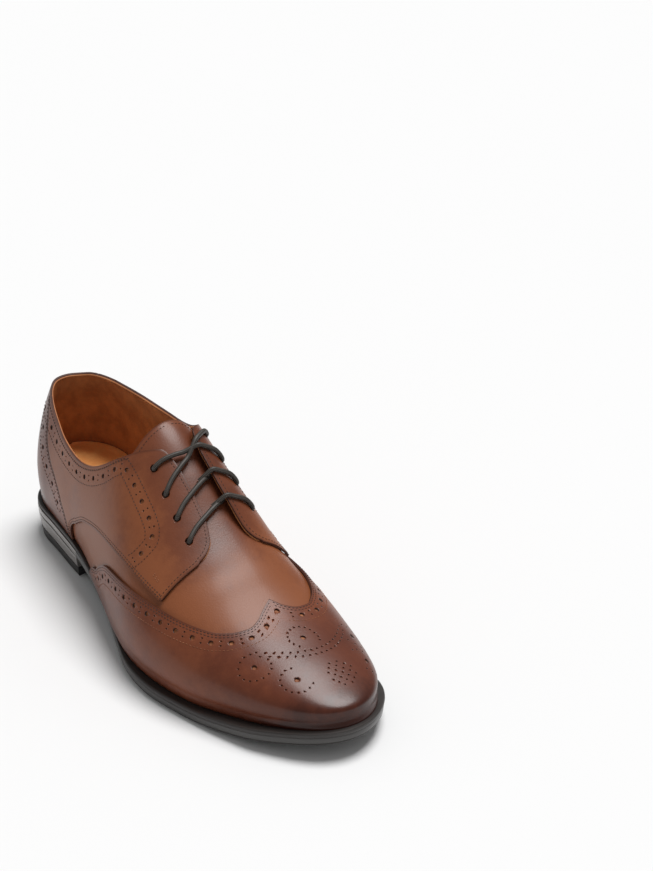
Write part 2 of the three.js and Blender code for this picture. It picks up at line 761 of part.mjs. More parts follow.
function quarterGeometry(side) {
  const back = seam(counterRows).map((p) => ({ y: p.y + seamGap, girth: p.girth }));
  const cornerY = facingRows[0].at * soleLength;
  const overCollar = 12;
  const overFacing = 6;
  const rows = 9;
  const rim = spread(collar(back[0].y, cornerY, side), side, overCollar);
  const facing = seam(facingRows);
  facing[0] = rim[overCollar];
  const turn = facingTurn * seamSteps;
  const high = [...rim, ...spread(facing.slice(0, turn + 1), side, overFacing).slice(1)];
  const low = spread(seam(skirtRows), side, overCollar + overFacing, skirtLead);
  back[0] = high[0];
  back[back.length - 1] = low[0];
  const start = spread([...back].reverse(), side, rows);
  const end = spread(facing.slice(turn).reverse(), side, rows);
  const lines = { low, high, start, end };
  const outside = framedGrid(side, lines, overlayGrow, facingLift(side));
  const inside = framedGrid(side, lines, overlayFit, facingLift(side));
  return closedGeometry(wallTriangles(side, outside, inside, { start: true, end: true, top: () => true }));
}

function solidFrom(geometry) {
  const positionOnly = new THREE.BufferGeometry();
  positionOnly.setAttribute('position', geometry.getAttribute('position').clone());
  if (geometry.index) positionOnly.setIndex(geometry.index.clone());
  const merged = mergeVertices(positionOnly, 1e-4);
  return new wasm.Manifold(new wasm.Mesh({
    numProp: 3,
    vertProperties: new Float32Array(merged.getAttribute('position').array),
    triVerts: new Uint32Array(merged.index.array),
  }));
}

function geometryFrom(solid) {
  const mesh = solid.getMesh();
  const geometry = new THREE.BufferGeometry();
  geometry.setAttribute('position', new THREE.BufferAttribute(new Float32Array(mesh.vertProperties), 3));
  geometry.setIndex(new THREE.BufferAttribute(new Uint32Array(mesh.triVerts), 1));
  return geometry;
}

// Eyelets: place and direction on each facing
function eyelet(index, side, grow) {
  const y = soleLength * (side > 0 ? eyeletRows[index].outerAt : eyeletRows[index].innerAt);
  const girth = side > 0 ? eyeletGirth.outer : eyeletGirth.inner;
  const lift = facingLift(side)(y, girth);
  const point = lastPoint(y, girth, side, grow + lift);
  const along = lastPoint(y + 1, girth, side, lift).sub(lastPoint(y - 1, girth, side, lift));
  const round = lastPoint(y, girth + 0.01, side, lift).sub(lastPoint(y, girth - 0.01, side, lift));
  const normal = along.cross(round).normalize();
  if (normal.z < 0) normal.negate();
  return { point, normal };
}

function punched(side) {
  let solid = solidFrom(quarterGeometry(side));
  for (let i = 0; i < eyeletRows.length; i += 1) {
    const { point, normal } = eyelet(i, side, overlayGrow / 2);
    const pin = new THREE.CylinderGeometry(eyeletBore / 2, eyeletBore / 2, 6 * overlayThickness, 12);
    pin.applyQuaternion(new THREE.Quaternion().setFromUnitVectors(new THREE.Vector3(0, 1, 0), normal));
    pin.translate(point.x, point.y, point.z);
    solid = solid.subtract(solidFrom(pin));
  }
  return geometryFrom(solid);
}
const quarterOuter = punched(1);
const quarterInner = punched(-1);

// Lace: a strand leaves an eyelet, crosses the tongue and either enters the
// opposite eyelet or goes down beside or under the opposite facing.
function lacePoint(y, signedGirth, grow) {
  const side = signedGirth < 0 ? -1 : 1;
  return lastPoint(y, Math.abs(signedGirth), side, grow);
}

// Shares of the way across at which a strand rides clear of the leather, and at
// which it sinks and runs on below the opposite facing.
const rideShares = [0.12, 0.28, 0.4];
const landShares = [0.62, 0.74, 0.88];
const sinkShare = 0.49;
const sinkDepth = 0.6;
const underShares = { outer: [0.57, 0.64], inner: [0.6] };

function strand(from, side, to, endsInEyelet) {
  const rows = { from: eyeletRows[from], to: eyeletRows[to] };
  const startY = soleLength * (side > 0 ? rows.from.outerAt : rows.from.innerAt);
  const endY = soleLength * (side > 0 ? rows.to.innerAt : rows.to.outerAt);
  const startGirth = side * (side > 0 ? eyeletGirth.outer : eyeletGirth.inner);
  const endGirth = -side * (side > 0 ? eyeletGirth.inner : eyeletGirth.outer);
  const startLift = facingLift(side)(startY, 0);
  const endLift = facingLift(-side)(endY, 0);
  const over = overlayGrow + laceDiameter / 2 + laceClearance;
  const under = laceDiameter / 2 + laceClearance;
  const inHole = overlayFit + overlayThickness / 2;
  const start = eyelet(from, side, inHole);
  const end = eyelet(to, -side, inHole);
  const above = over - inHole;
  const place = (t, grow) => {
    const y = startY + (endY - startY) * t;
    return lacePoint(y, startGirth + (endGirth - startGirth) * t, grow);
  };
  const points = [start.point, start.point.clone().addScaledVector(start.normal, above)];
  rideShares.forEach((t) => points.push(place(t, startLift + over)));
  if (endsInEyelet) {
    points.push(place(0.5, (startLift + endLift) / 2 + over));
    landShares.forEach((t) => points.push(place(t, endLift + over)));
    points.push(end.point.clone().addScaledVector(end.normal, above), end.point);
  } else {
    points.push(place(sinkShare, startLift / 2 + over - sinkDepth));
    const sunk = side > 0 ? underShares.outer : underShares.inner;
    sunk.forEach((t) => points.push(place(t, under)));
  }
  const path = new THREE.CatmullRomCurve3(points, false, 'centripetal');
  const ring = new THREE.Shape();
  ring.absarc(0, 0, laceDiameter / 2, 0, 2 * Math.PI, false);
  const sweep = { steps: 10, curveSegments: 4, extrudePath: path, bevelEnabled: false };
  return new THREE.ExtrudeGeometry(ring, sweep);
}

function crossing(index) {
  const top = index === 0;
  const a = solidFrom(strand(index + 1, 1, index, top));
  const b = solidFrom(strand(index + 1, -1, index, top));
  return geometryFrom(a.add(b));
}

// Finishes
const finish = (color, roughness) => new THREE.MeshStandardMaterial({ color, roughness, metalness: 0 });
const brownLeather = 0x6b3f2a;
const darkLeather = 0x4a2a1e;
const soleBlack = 0x2a2624;

const shoe = new THREE.Group();
const heelMiddle = (heelLength + heelInset) / 2;
const heelEdges = soleEdges(heelMiddle);
const origin = new THREE.Vector3((heelEdges.outer + heelEdges.inner) / 2, heelMiddle, 0);

function piece(name, geometry, material) {
  const mesh = new THREE.Mesh(geometry, material);
  mesh.name = name;
  mesh.position.copy(origin).negate();
  shoe.add(mesh);
}

piece('outsole', outsole, finish(soleBlack, 0.5));
piece('welt', welt, finish(soleBlack, 0.45));
piece('heel_base', heelBase, finish(soleBlack, 0.5));
piece('heel_top_piece', heelTopPiece, finish(0x1c1a19, 0.7));
piece('insole', insole, finish(0xb07a45, 0.7));
piece('upper', upper, finish(brownLeather, 0.4));
piece('tongue', tongue, finish(brownLeather, 0.4));
piece('wing_cap', wingCap, finish(darkLeather, 0.35));
piece('heel_counter', heelCounter, finish(darkLeather, 0.35));
piece('quarter_outer', quarterOuter, finish(brownLeather, 0.4));
piece('quarter_inner', quarterInner, finish(brownLeather, 0.4));
const crossings = 3;
for (let i = 0; i < crossings; i += 1) {
  piece(`lace_crossing_${i + 1}`, crossing(i), finish(0x2c2926, 0.8));
}

export default shoe;
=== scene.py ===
# Men's wing tip derby for the right foot: the looks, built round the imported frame.
# Sizes are in millimetres. Stations run from the back edge of the sole to the toe,
# and girth runs from 0 at the ridge to 1 at the feather line, less than 0 on the
# inner side. in_frame() turns a point of the last into metres in the part's frame.
import math

import bpy
import numpy as np
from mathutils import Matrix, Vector


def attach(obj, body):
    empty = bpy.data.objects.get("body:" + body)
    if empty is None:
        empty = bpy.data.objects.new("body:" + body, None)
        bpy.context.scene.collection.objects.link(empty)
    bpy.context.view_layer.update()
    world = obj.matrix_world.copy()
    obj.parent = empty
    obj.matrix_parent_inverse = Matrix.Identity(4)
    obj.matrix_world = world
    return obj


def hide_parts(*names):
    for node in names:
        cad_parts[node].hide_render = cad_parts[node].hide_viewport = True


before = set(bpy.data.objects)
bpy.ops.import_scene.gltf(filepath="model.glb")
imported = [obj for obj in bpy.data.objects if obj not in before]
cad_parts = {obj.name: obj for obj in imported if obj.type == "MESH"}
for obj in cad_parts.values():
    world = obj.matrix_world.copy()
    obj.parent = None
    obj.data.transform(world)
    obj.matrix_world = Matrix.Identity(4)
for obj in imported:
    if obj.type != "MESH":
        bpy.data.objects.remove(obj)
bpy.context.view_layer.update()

# Sole and heel
SOLE_LENGTH = 302
BALL_WIDTH = 108
HEEL_WIDTH = 58
HEEL_LIFT = 14.2
TOE_SPRING = 10
OUTSOLE_THICKNESS = 4.4
WELT_THICKNESS = 2.9
WELT_LIP = 0.6
HEEL_LENGTH = 72
HEEL_INSET = 1.8
HEEL_BREAST_CURVE = 3
HEEL_TAPER = 1.2
TOP_PIECE_THICKNESS = 6
INSOLE_THICKNESS = 3
CUSHION_HEIGHT = 17
CUSHION_TOP = 80
CUSHION_FRONT = 165
INSOLE_START = 0.6
TOE_ROUND_LENGTH = 40
HEEL_ROUND_LENGTH = 32

# Last
WELT_MARGIN = 5
TOE_MARGIN = 6
BACK_MARGIN = 2.7
INSTEP_HEIGHT = 99.2
TOE_BOX_HEIGHT = 26.2
BULGE_HEIGHT = 20
FEATHER_INSET = 4
BACK_HEIGHT = 66
BACK_LEAN = 4.2
BACK_BULGE = 1.5
BACK_LEAN_POWER = 1.6
BACK_LEAN_REACH = 0.2
CAP_ROUND_LENGTH = 41.7
COLLAR_BLEND = 12
WIDEST_GIRTH = 0.68
TOE_POWER = 2.05
HEEL_POWER = 2.2
TOE_TOP_POWER = 2.2

# Leather
UPPER_WALL = 1.6
OVERLAY_THICKNESS = 1.3
OVERLAY_FIT = 0.45
OUTSIDE = OVERLAY_FIT + OVERLAY_THICKNESS
FIT = 0.3
SEAM_GAP = 0.75
OUTER_FACING_LIFT = 1
INNER_FACING_LIFT = 5.3
EYELET_BORE = 4.2
EYELET_DEPTH = 3.4
VAMP_FRONT = 250
VAMP_THICKNESS = 1.3
FACING_LINING_THICKNESS = 0.75
FACING_LINING_END = 186
LINING_THICKNESS = 0.5
LACE_DIAMETER = 2.7
LACE_REST = 0.2

SOLE_ROWS = {
    "at": (0, 0.106, 0.199, 0.298, 0.394, 0.480, 0.563, 0.646, 0.725, 0.811, 0.868, 0.927, 1),
    "ball": (-0.06, 0, 0.09, 0.11, 0.23, 0.51, 0.84, 0.99, 0.94, 0.74, 0.52, 0.31, 0.12),
    "outer": (0.482, 0.466, 0.482, 0.521, 0.568, 0.580, 0.565, 0.540, 0.510, 0.485, 0.469, 0.436, 0.425),
}
PROFILE_ROWS = {
    "at": (0, 0.132, 0.258, 0.331, 0.414, 0.497, 0.579, 0.630, 0.700, 0.760, 0.828, 0.911, 1),
    "heel": (1.04, 1.02, 0.92, 0.60, 0.28, 0.10, 0.02, 0, 0, 0, 0, 0, 0),
    "toe": (0, 0, 0, 0, 0, 0, 0, 0, 0, 0.03, 0.22, 0.58, 1.02),
}
LAST_ROWS = {
    "at": SOLE_ROWS["at"],
    "outer": (0.98, 0.58, 0.25, -0.26, -0.47, -0.21, 0.41, 0.77, 0.87, 1.39, 1.47, 1.09, 0.83),
    "inner": (0.13, 0.23, 0.19, -0.27, -0.63, -0.43, 0.23, 0.63, 0.93, 1.11, 0.99, 0.73, 0.33),
    "widest": (1, 1, 1, 1, 0.95, 0.85, 0.75, 0.70, 0.65, 0.58, 0.53, 0.48, 0.42),
    "instep": (0.79, 0.82, 0.905, 0.985, 1, 0.873, 0.716, 0.50, 0.30, 0.08, 0, 0, 0),
    "toe": (0, 0, 0, 0, 0, 0, 0, 0.275, 0.56, 0.97, 1, 0.74, 0.49),
    "lean": (0, 0, -0.009, -0.023, -0.042, -0.046, -0.046, -0.042, -0.037, -0.035, -0.037, -0.041, -0.044),
    "inset_outer": (0.30, 0.40, 0.63, 0.75, 0.88, 1, 1, 1, 0.88, 0.75, 0.63, 0.50, 0.38),
    "inset_inner": (0.50, 0.63, 0.75, 1, 1.25, 1.12, 1, 0.88, 0.75, 0.63, 0.63, 0.50, 0.38),
    "round_outer": (1.8, 1.8, 1.8, 1.83, 1.85, 1.88, 1.95, 2.08, 2.13, 2.17, 2.19, 2.21, 2.25),
    "round_inner": (2.4, 2.8, 2.9, 2.6, 2.35, 2.15, 2.05, 2.08, 2.13, 2.17, 2.19, 2.21, 2.25),
}
COLLAR_ROWS = {
    "at": (0.000, 0.050, 0.083, 0.116, 0.149, 0.182, 0.219, 0.248, 0.278, 0.305, 0.328, 0.354,
           0.374, 0.387, 0.407, 0.424),
    "outer": (1.010, 0.978, 0.934, 0.882, 0.838, 0.820, 0.815, 0.824, 0.856, 0.903, 0.962, 1.044,
              1.108, 1.147, 1.199, 1.222),
    "inner": (1.010, 1.045, 1.042, 1.037, 1.032, 1.027, 1.031, 1.046, 1.067, 1.084, 1.099, 1.128,
              1.165, 1.192, 1.229, 1.252),
}

# Seams on the last: station as a share of the sole's length, and girth
FACING_ROWS = ((0.424, 0.125), (0.434, 0.094), (0.462, 0.071), (0.497, 0.064), (0.543, 0.063),
               (0.582, 0.076), (0.607, 0.110), (0.618, 0.165), (0.622, 0.240), (0.622, 0.330),
               (0.617, 0.400))
COUNTER_ROWS = ((0.050, 0.297), (0.079, 0.400), (0.099, 0.500), (0.124, 0.570), (0.156, 0.620),
                (0.188, 0.700), (0.206, 0.840), (0.213, 1.000))
SKIRT_ROWS = ((0.219, 1.000), (0.226, 0.860), (0.248, 0.720), (0.286, 0.640), (0.333, 0.590),
              (0.417, 0.528), (0.504, 0.462), (0.575, 0.420), (0.617, 0.400))
WING_OUTER_ROWS = ((0.315, 1.000), (0.335, 0.860), (0.370, 0.710), (0.420, 0.610), (0.505, 0.530),
                   (0.576, 0.466), (0.630, 0.420), (0.674, 0.381), (0.711, 0.338), (0.741, 0.285),
                   (0.759, 0.209), (0.763, 0.160), (0.757, 0.110), (0.744, 0.060), (0.728, 0.000))
WING_INNER_ROWS = ((0.360, 1.000), (0.375, 0.870), (0.405, 0.740), (0.450, 0.650), (0.520, 0.560),
                   (0.585, 0.480), (0.635, 0.420), (0.674, 0.375), (0.708, 0.325), (0.739, 0.250),
                   (0.755, 0.180), (0.757, 0.130), (0.750, 0.070), (0.728, 0.000))
BAND_ROWS = ((0.392, 0.284), (0.430, 0.277), (0.470, 0.272), (0.500, 0.272), (0.522, 0.282),
             (0.533, 0.315), (0.530, 0.360), (0.523, 0.405), (0.514, 0.440))
VAMP_BACK_ROWS = ((0.383, 0.000), (0.385, 0.120), (0.388, 0.210), (0.382, 0.275), (0.350, 0.370),
                  (0.325, 0.430), (0.248, 0.530), (0.207, 0.700), (0.192, 1.000))
EYELET_AT = {1: (0.447, 0.494, 0.537, 0.580), -1: (0.426, 0.473, 0.516, 0.562)}
EYELET_GIRTH = {1: 0.165, -1: 0.215}
OUTER, INNER = 1, -1


# The last

def column(rows, name, at):
    """Smooth curve through one column of a table."""
    xs = np.asarray(rows["at"], float)
    ys = np.asarray(rows[name], float)
    step = np.diff(ys) / np.diff(xs)
    gap = np.diff(xs)
    slope = np.empty(len(xs))
    slope[0] = step[0]
    slope[-1] = step[-1]
    slope[1:-1] = (step[:-1] * gap[1:] + step[1:] * gap[:-1]) / (gap[:-1] + gap[1:])
    at = np.asarray(at, float)
    k = np.clip(np.searchsorted(xs, at, side="right") - 1, 0, len(xs) - 2)
    t = np.clip((at - xs[k]) / gap[k], 0, 1)
    a = (1 + 2 * t) * (1 - t) ** 2 * ys[k]
    b = t * (1 - t) ** 2 * gap[k] * slope[k]
    c = t * t * (3 - 2 * t) * ys[k + 1]
    d = t * t * (t - 1) * gap[k] * slope[k + 1]
    return a + b + c + d


def smoothstep(x, low, high):
    t = np.clip((np.asarray(x, float) - low) / (high - low), 0, 1)
    return t * t * (3 - 2 * t)


def round_end(t, power):
    return np.maximum(1 - np.power(t, power), 0) ** (1 / power)


def sole_width(y):
    return HEEL_WIDTH + (BALL_WIDTH - HEEL_WIDTH) * column(SOLE_ROWS, "ball", y / SOLE_LENGTH)


def sole_edges(y, grow=0.0):
    """Outer and inner edge of the sole at a station."""
    width = sole_width(y)
    middle = width * (column(SOLE_ROWS, "outer", y / SOLE_LENGTH) - 0.5)
    toe = np.clip((y - SOLE_LENGTH + TOE_ROUND_LENGTH) / (TOE_ROUND_LENGTH + grow), 0, 1)
    heel = np.clip((HEEL_ROUND_LENGTH - y) / (HEEL_ROUND_LENGTH + grow), 0, 1)
    half = (width / 2 + grow) * round_end(toe, 2) * round_end(heel, HEEL_POWER)
    return middle + half, middle - half


def underside_height(y):
    at = np.asarray(y, float) / SOLE_LENGTH
    heel = HEEL_LIFT * column(PROFILE_ROWS, "heel", at)
    return np.maximum(0, heel + TOE_SPRING * column(PROFILE_ROWS, "toe", at))


def seat_height(y):
    return underside_height(y) + OUTSOLE_THICKNESS + FIT + WELT_THICKNESS


def feather_height(y):
    return seat_height(y) + FIT


LAST_TOE = SOLE_LENGTH - TOE_MARGIN
TOE_ROUND_START = LAST_TOE - CAP_ROUND_LENGTH


def back_shift(height):
    rise = height - feather_height(0)
    lean = np.maximum(0, (rise - BULGE_HEIGHT) / (BACK_HEIGHT - BULGE_HEIGHT))
    bulge = smoothstep(rise, 0, BULGE_HEIGHT) * BACK_BULGE
    return (BACK_LEAN + BACK_BULGE) * lean ** BACK_LEAN_POWER - bulge


def last_point(y, girth, grow=0.0):
    """Point of the last, grown outwards by a distance."""
    y, girth, grow = np.broadcast_arrays(*(np.asarray(v, float) for v in (y, girth, grow)))
    at = y / SOLE_LENGTH
    outward = np.where(girth < 0, -1.0, 1.0)
    girth = np.abs(girth)
    share = column(SOLE_ROWS, "outer", at)
    width = sole_width(y)
    outer_x = width * share - WELT_MARGIN * column(LAST_ROWS, "outer", at)
    inner_x = width * (share - 1) + WELT_MARGIN * column(LAST_ROWS, "inner", at)
    toe = np.clip((y - TOE_ROUND_START) / CAP_ROUND_LENGTH, 0, 1)
    heel = np.clip((HEEL_ROUND_LENGTH - y) / (HEEL_ROUND_LENGTH - BACK_MARGIN), 0, 1)
    cap = round_end(toe, TOE_POWER) * round_end(heel, HEEL_POWER)
    middle = (outer_x + inner_x) / 2
    half = ((outer_x - inner_x) / 2 + grow) * cap
    inset = np.where(outward > 0, column(LAST_ROWS, "inset_outer", at), column(LAST_ROWS, "inset_inner", at))
    inset = inset * FEATHER_INSET * cap
    round_outer = column(LAST_ROWS, "round_outer", at)
    round_inner = column(LAST_ROWS, "round_inner", at)
    even = (round_outer + round_inner) / 2
    power = even + (np.where(outward > 0, round_outer, round_inner) - even) * cap
    bottom = feather_height(y)
    widest = bottom + BULGE_HEIGHT * column(LAST_ROWS, "widest", at)
    ridge = bottom + INSTEP_HEIGHT * column(LAST_ROWS, "instep", at)
    ridge = ridge + TOE_BOX_HEIGHT * column(LAST_ROWS, "toe", at)
    top = widest + (ridge + grow - widest) * round_end(toe, TOE_TOP_POWER)
    ridge_x = middle + (BALL_WIDTH * column(LAST_ROWS, "lean", at) - middle) * cap
    turn = np.clip(1 - girth / WIDEST_GIRTH, 0, 1) * math.pi / 2
    across = np.cos(turn)
    up = np.sin(turn)
    reach = (across ** power + up ** power) ** (-1 / power)
    rise = np.clip((1 - girth) / (1 - WIDEST_GIRTH), 0, 1)
    above = girth <= WIDEST_GIRTH
    x = np.where(above, ridge_x + (middle + outward * half - ridge_x) * reach * across,
                 middle + outward * (half - inset * (1 - rise) ** 2))
    z = np.where(above, widest + (top - widest) * reach * up, bottom + (widest - bottom) * rise)
    fade = 1 - smoothstep(y, 0, BACK_LEAN_REACH * SOLE_LENGTH)
    return np.stack([x, y + grow * (toe - heel) + back_shift(z) * fade, z], -1)


HEEL_MIDDLE = (HEEL_LENGTH + HEEL_INSET) / 2
ORIGIN = np.array([sum(sole_edges(HEEL_MIDDLE)) / 2, HEEL_MIDDLE, 0])


def in_frame(points):
    return (np.asarray(points, float) - ORIGIN) / 1000


def facing_lift(y, girth):
    """How far the facings stand off the tongue."""
    at = y / SOLE_LENGTH
    height = np.where(girth < 0, INNER_FACING_LIFT, OUTER_FACING_LIFT)
    near = 1 - smoothstep(np.abs(girth), 0.1, 0.45)
    return height * near * smoothstep(at, 0.25, 0.42) * (1 - smoothstep(at, 0.55, 0.625))


def soft_form(y, girth):
    """Creases and soft hollows of the worn-in leather, in millimetres outwards."""
    total = np.zeros(np.broadcast(y, girth).shape)
    for at, centre, length, width, height in CREASES:
        along = (y - at) / length
        across = (girth - centre) / width
        total = total + height * np.exp(-along ** 2 - across ** 2)
    return total


# Station, girth, half length, half girth and height of each soft crease or swell
CREASES = (
    (196, 0.20, 5.0, 0.16, -0.35),
    (204, 0.10, 6.0, 0.20, 0.25),
    (211, -0.22, 5.0, 0.14, -0.30),
    (188, 0.47, 9.0, 0.07, -0.45),
    (176, 0.60, 14.0, 0.10, 0.30),
    (150, 0.66, 12.0, 0.09, -0.30),
    (70, 0.62, 12.0, 0.10, -0.40),
    (96, 0.70, 14.0, 0.08, 0.35),
    (60, 0.40, 16.0, 0.08, 0.45),
    (98, -0.45, 14.0, 0.10, -0.40),
    (190, -0.45, 9.0, 0.10, -0.40),
    (140, -0.60, 16.0, 0.10, 0.30),
)


# Lines on the last: arrays of station and girth

SEAM_STEPS = 16
FOOT_FILL = 1.4
FACING_TURN = 6
SKIRT_LEAD = 0.6


def smooth_path(points, steps):
    """Smooth curve through points; steps gives the number of its parts from the length of a span."""
    p = np.asarray(points, float)
    q = np.vstack([2 * p[0] - p[1], p, 2 * p[-1] - p[-2]])
    gap = np.sqrt(np.linalg.norm(np.diff(q, axis=0), axis=1))
    path = []
    for i in range(1, len(q) - 2):
        before, here, after = gap[i - 1:i + 2]
        span = q[i + 1] - q[i]
        start = ((q[i] - q[i - 1]) / before - (q[i + 1] - q[i - 1]) / (before + here) + span / here) * here
        finish = (span / here - (q[i + 2] - q[i]) / (here + after) + (q[i + 2] - q[i + 1]) / after) * here
        count = steps(np.linalg.norm(span))
        for t in np.arange(count) / count:
            bend = 3 * span - 2 * start - finish
            path.append(q[i] + start * t + bend * t * t + (start + finish - 2 * span) * t ** 3)
    path.append(p[-1])
    return np.array(path)


def seam(rows, side, steps=SEAM_STEPS):
    """Smooth line through the rows of a seam."""
    line = smooth_path([(at * SOLE_LENGTH, girth) for at, girth in rows], lambda span: steps)
    return np.stack([line[:, 0], np.maximum(0, line[:, 1]) * side], -1)


def girth_at_height(y, side, height):
    low = np.zeros_like(y)
    high = np.ones_like(y)
    for _ in range(30):
        middle = (low + high) / 2
        above = last_point(y, np.maximum(middle, 1e-9) * side)[..., 2] > height
        low = np.where(above, middle, low)
        high = np.where(above, high, middle)
    return low


def collar(start, end, side, steps=120):
    """Collar line between two stations."""
    t = np.linspace(0, 1, steps + 1)
    y = start + (end - start) * t * t * (2 - t)
    outer = column(COLLAR_ROWS, "outer", y / SOLE_LENGTH)
    inner = column(COLLAR_ROWS, "inner", y / SOLE_LENGTH)
    even = (outer + inner) / 2
    own = outer if side > 0 else inner
    share = even + (own - even) * smoothstep(y, BACK_MARGIN, COLLAR_BLEND)
    girth = girth_at_height(y, side, feather_height(0) + BACK_HEIGHT * share)
    return np.stack([y, girth * side], -1)


def straight(start, end, steps=120):
    t = np.linspace(0, 1, steps + 1)[:, None]
    return np.asarray(start, float) * (1 - t) + np.asarray(end, float) * t


def towards_end(start, end, girth, steps=160):
    """A line along the last, crowded towards its round end."""
    t = np.sin(np.linspace(0, 1, steps + 1) * math.pi / 2)
    return np.stack([start + (end - start) * t, np.full(steps + 1, girth)], -1)


def length_along(points):
    """Length from the first of some points to each of them."""
    return np.concatenate([[0], np.cumsum(np.linalg.norm(np.diff(points, axis=0), axis=1))])


def spread(line, count, lead=0.0):
    """The same number of points on any line, evenly spaced or closer at its start."""
    at = last_point(line[:, 0], line[:, 1])
    run = length_along(at)
    share = np.linspace(0, 1, count + 1)
    want = run[-1] * (share - lead * share * (1 - share))
    return np.stack([np.interp(want, run, line[:, 0]), np.interp(want, run, line[:, 1])], -1)


def line_length(line):
    at = last_point(line[:, 0], line[:, 1])
    return np.linalg.norm(np.diff(at, axis=0), axis=1).sum()


def tangents(line, grow):
    """Point, direction along, outward normal and direction to the left of a line."""
    at = last_point(line[:, 0], line[:, 1], grow)
    along = np.gradient(at, axis=0)
    along /= np.linalg.norm(along, axis=1)[:, None] + 1e-12
    y, girth = line[:, 0], line[:, 1]
    d_station = last_point(y + 0.5, girth, grow) - last_point(y - 0.5, girth, grow)
    clear = np.where(np.abs(girth) < 0.004, 0.004 * np.where(girth < 0, -1, 1), girth)
    d_girth = last_point(y, clear + 0.002, grow) - last_point(y, clear - 0.002, grow)
    normal = np.cross(d_girth, d_station)
    normal /= np.linalg.norm(normal, axis=1)[:, None] + 1e-12
    outward = last_point(line[:, 0], line[:, 1], grow + 1) - at
    normal *= np.sign((normal * outward).sum(1))[:, None]
    return at, along, normal, np.cross(normal, along), d_station, d_girth / 0.004


def offset(line, distance):
    """A line on the last at a distance to the left of another; less than 0 is to the right."""
    steps = max(1, int(math.ceil(abs(distance))))
    for _ in range(steps):
        _, _, _, left, d_station, d_girth = tangents(line, OUTSIDE)
        want = left * (distance / steps)
        a = (d_station ** 2).sum(1)
        b = (d_station * d_girth).sum(1)
        c = (d_girth ** 2).sum(1)
        p = (want * d_station).sum(1)
        q = (want * d_girth).sum(1)
        det = a * c - b * b
        line = line + np.stack([(p * c - q * b) / det, (q * a - p * b) / det], -1)
    return line


# Finishes. Node groups give the colours, masks and heights; each material has its own shader.

def colour(*srgb):
    """Linear colour from one given on a 0 to 255 scale."""
    return tuple(((c / 255 + 0.055) / 1.055) ** 2.4 if c > 10 else c / 255 / 12.92 for c in srgb) + (1,)


class Nodes:
    """Short way to add and link the nodes of one tree."""

    def __init__(self, tree):
        self.tree = tree

    def add(self, kind):
        return self.tree.nodes.new("ShaderNode" + kind)

    def link(self, output, to):
        self.tree.links.new(output, to)

    def put(self, socket, value):
        if isinstance(value, (int, float, tuple)):
            socket.default_value = value
        else:
            self.link(value, socket)

    def maths(self, operation, a, b=0.0, clamp=False):
        node = self.add("Math")
        node.operation = operation
        node.use_clamp = clamp
        self.put(node.inputs[0], a)
        self.put(node.inputs[1], b)
        return node.outputs[0]

    def ramp(self, value, low, high, out_low=0.0, out_high=1.0):
        node = self.add("MapRange")
        node.interpolation_type = "SMOOTHSTEP"
        self.put(node.inputs["Value"], value)
        node.inputs["From Min"].default_value = low
        node.inputs["From Max"].default_value = high
        node.inputs["To Min"].default_value = out_low
        node.inputs["To Max"].default_value = out_high
        return node.outputs["Result"]

    def mix(self, factor, a, b):
        node = self.add("Mix")
        node.data_type = "RGBA"
        self.put(node.inputs["Factor"], factor)
        self.put(node.inputs[6], a)
        self.put(node.inputs[7], b)
        return node.outputs[2]

    def noise(self, vector, scale, detail=2.0, roughness=0.5):
        node = self.add("TexNoise")
        self.put(node.inputs["Vector"], vector)
        node.inputs["Scale"].default_value = scale
        node.inputs["Detail"].default_value = detail
        node.inputs["Roughness"].default_value = roughness
        return node.outputs["Fac"]

    def cells(self, vector, scale, feature="F1"):
        node = self.add("TexVoronoi")
        node.feature = feature
        self.put(node.inputs["Vector"], vector)
        node.inputs["Scale"].default_value = scale
        return node.outputs["Distance"]


def group(name, ins, outs):
    """Node group with named sockets, and its inner nodes."""
    tree = bpy.data.node_groups.new(name, "ShaderNodeTree")
    for label, kind in ins:
        tree.interface.new_socket(name=label, in_out="INPUT", socket_type="NodeSocket" + kind)
    for label, kind in outs:
        tree.interface.new_socket(name=label, in_out="OUTPUT", socket_type="NodeSocket" + kind)
    entry = tree.nodes.new("NodeGroupInput")
    leave = tree.nodes.new("NodeGroupOutput")
    return tree, Nodes(tree), entry.outputs, leave.inputs


def burnish_group():
    """Leather with hand burnishing: light, middle and deep tone, with darkened cut edges. The second value
    of the Shade map carries the burnishing together with the upper's painted shade.
    """
    ins = [("Place", "Vector"), ("Shade", "Vector"), ("Light", "Color"), ("Middle", "Color"),
           ("Deep", "Color"), ("Edge", "Color"), ("Mottle", "Float"), ("Base", "Float")]
    tree, n, into, out = group("burnish", ins, [("Color", "Color"), ("Burnish", "Float")])
    split = n.add("SeparateXYZ")
    n.link(into["Shade"], split.inputs[0])
    broad = n.maths("SUBTRACT", n.noise(into["Place"], 30, 3, 0.55), 0.5)
    fine = n.maths("SUBTRACT", n.noise(into["Place"], 260, 4, 0.6), 0.5)
    spots = n.maths("ADD", broad, n.maths("MULTIPLY", fine, 0.35))
    amount = n.maths("ADD", n.maths("MULTIPLY", spots, into["Mottle"]), into["Base"])
    # The Shade map's second value brings in the burnishing together with the upper's painted shade.
    amount = n.maths("ADD", amount, split.outputs["Y"], clamp=True)
    tone = n.mix(n.ramp(amount, 0, 0.5), into["Light"], into["Middle"])
    tone = n.mix(n.ramp(amount, 0.45, 1.0), tone, into["Deep"])
    edge = n.ramp(split.outputs["X"], 0.0, 0.09, 0.55, 0.0)
    n.link(n.mix(edge, tone, into["Edge"]), out["Color"])
    n.link(amount, out["Burnish"])
    return tree


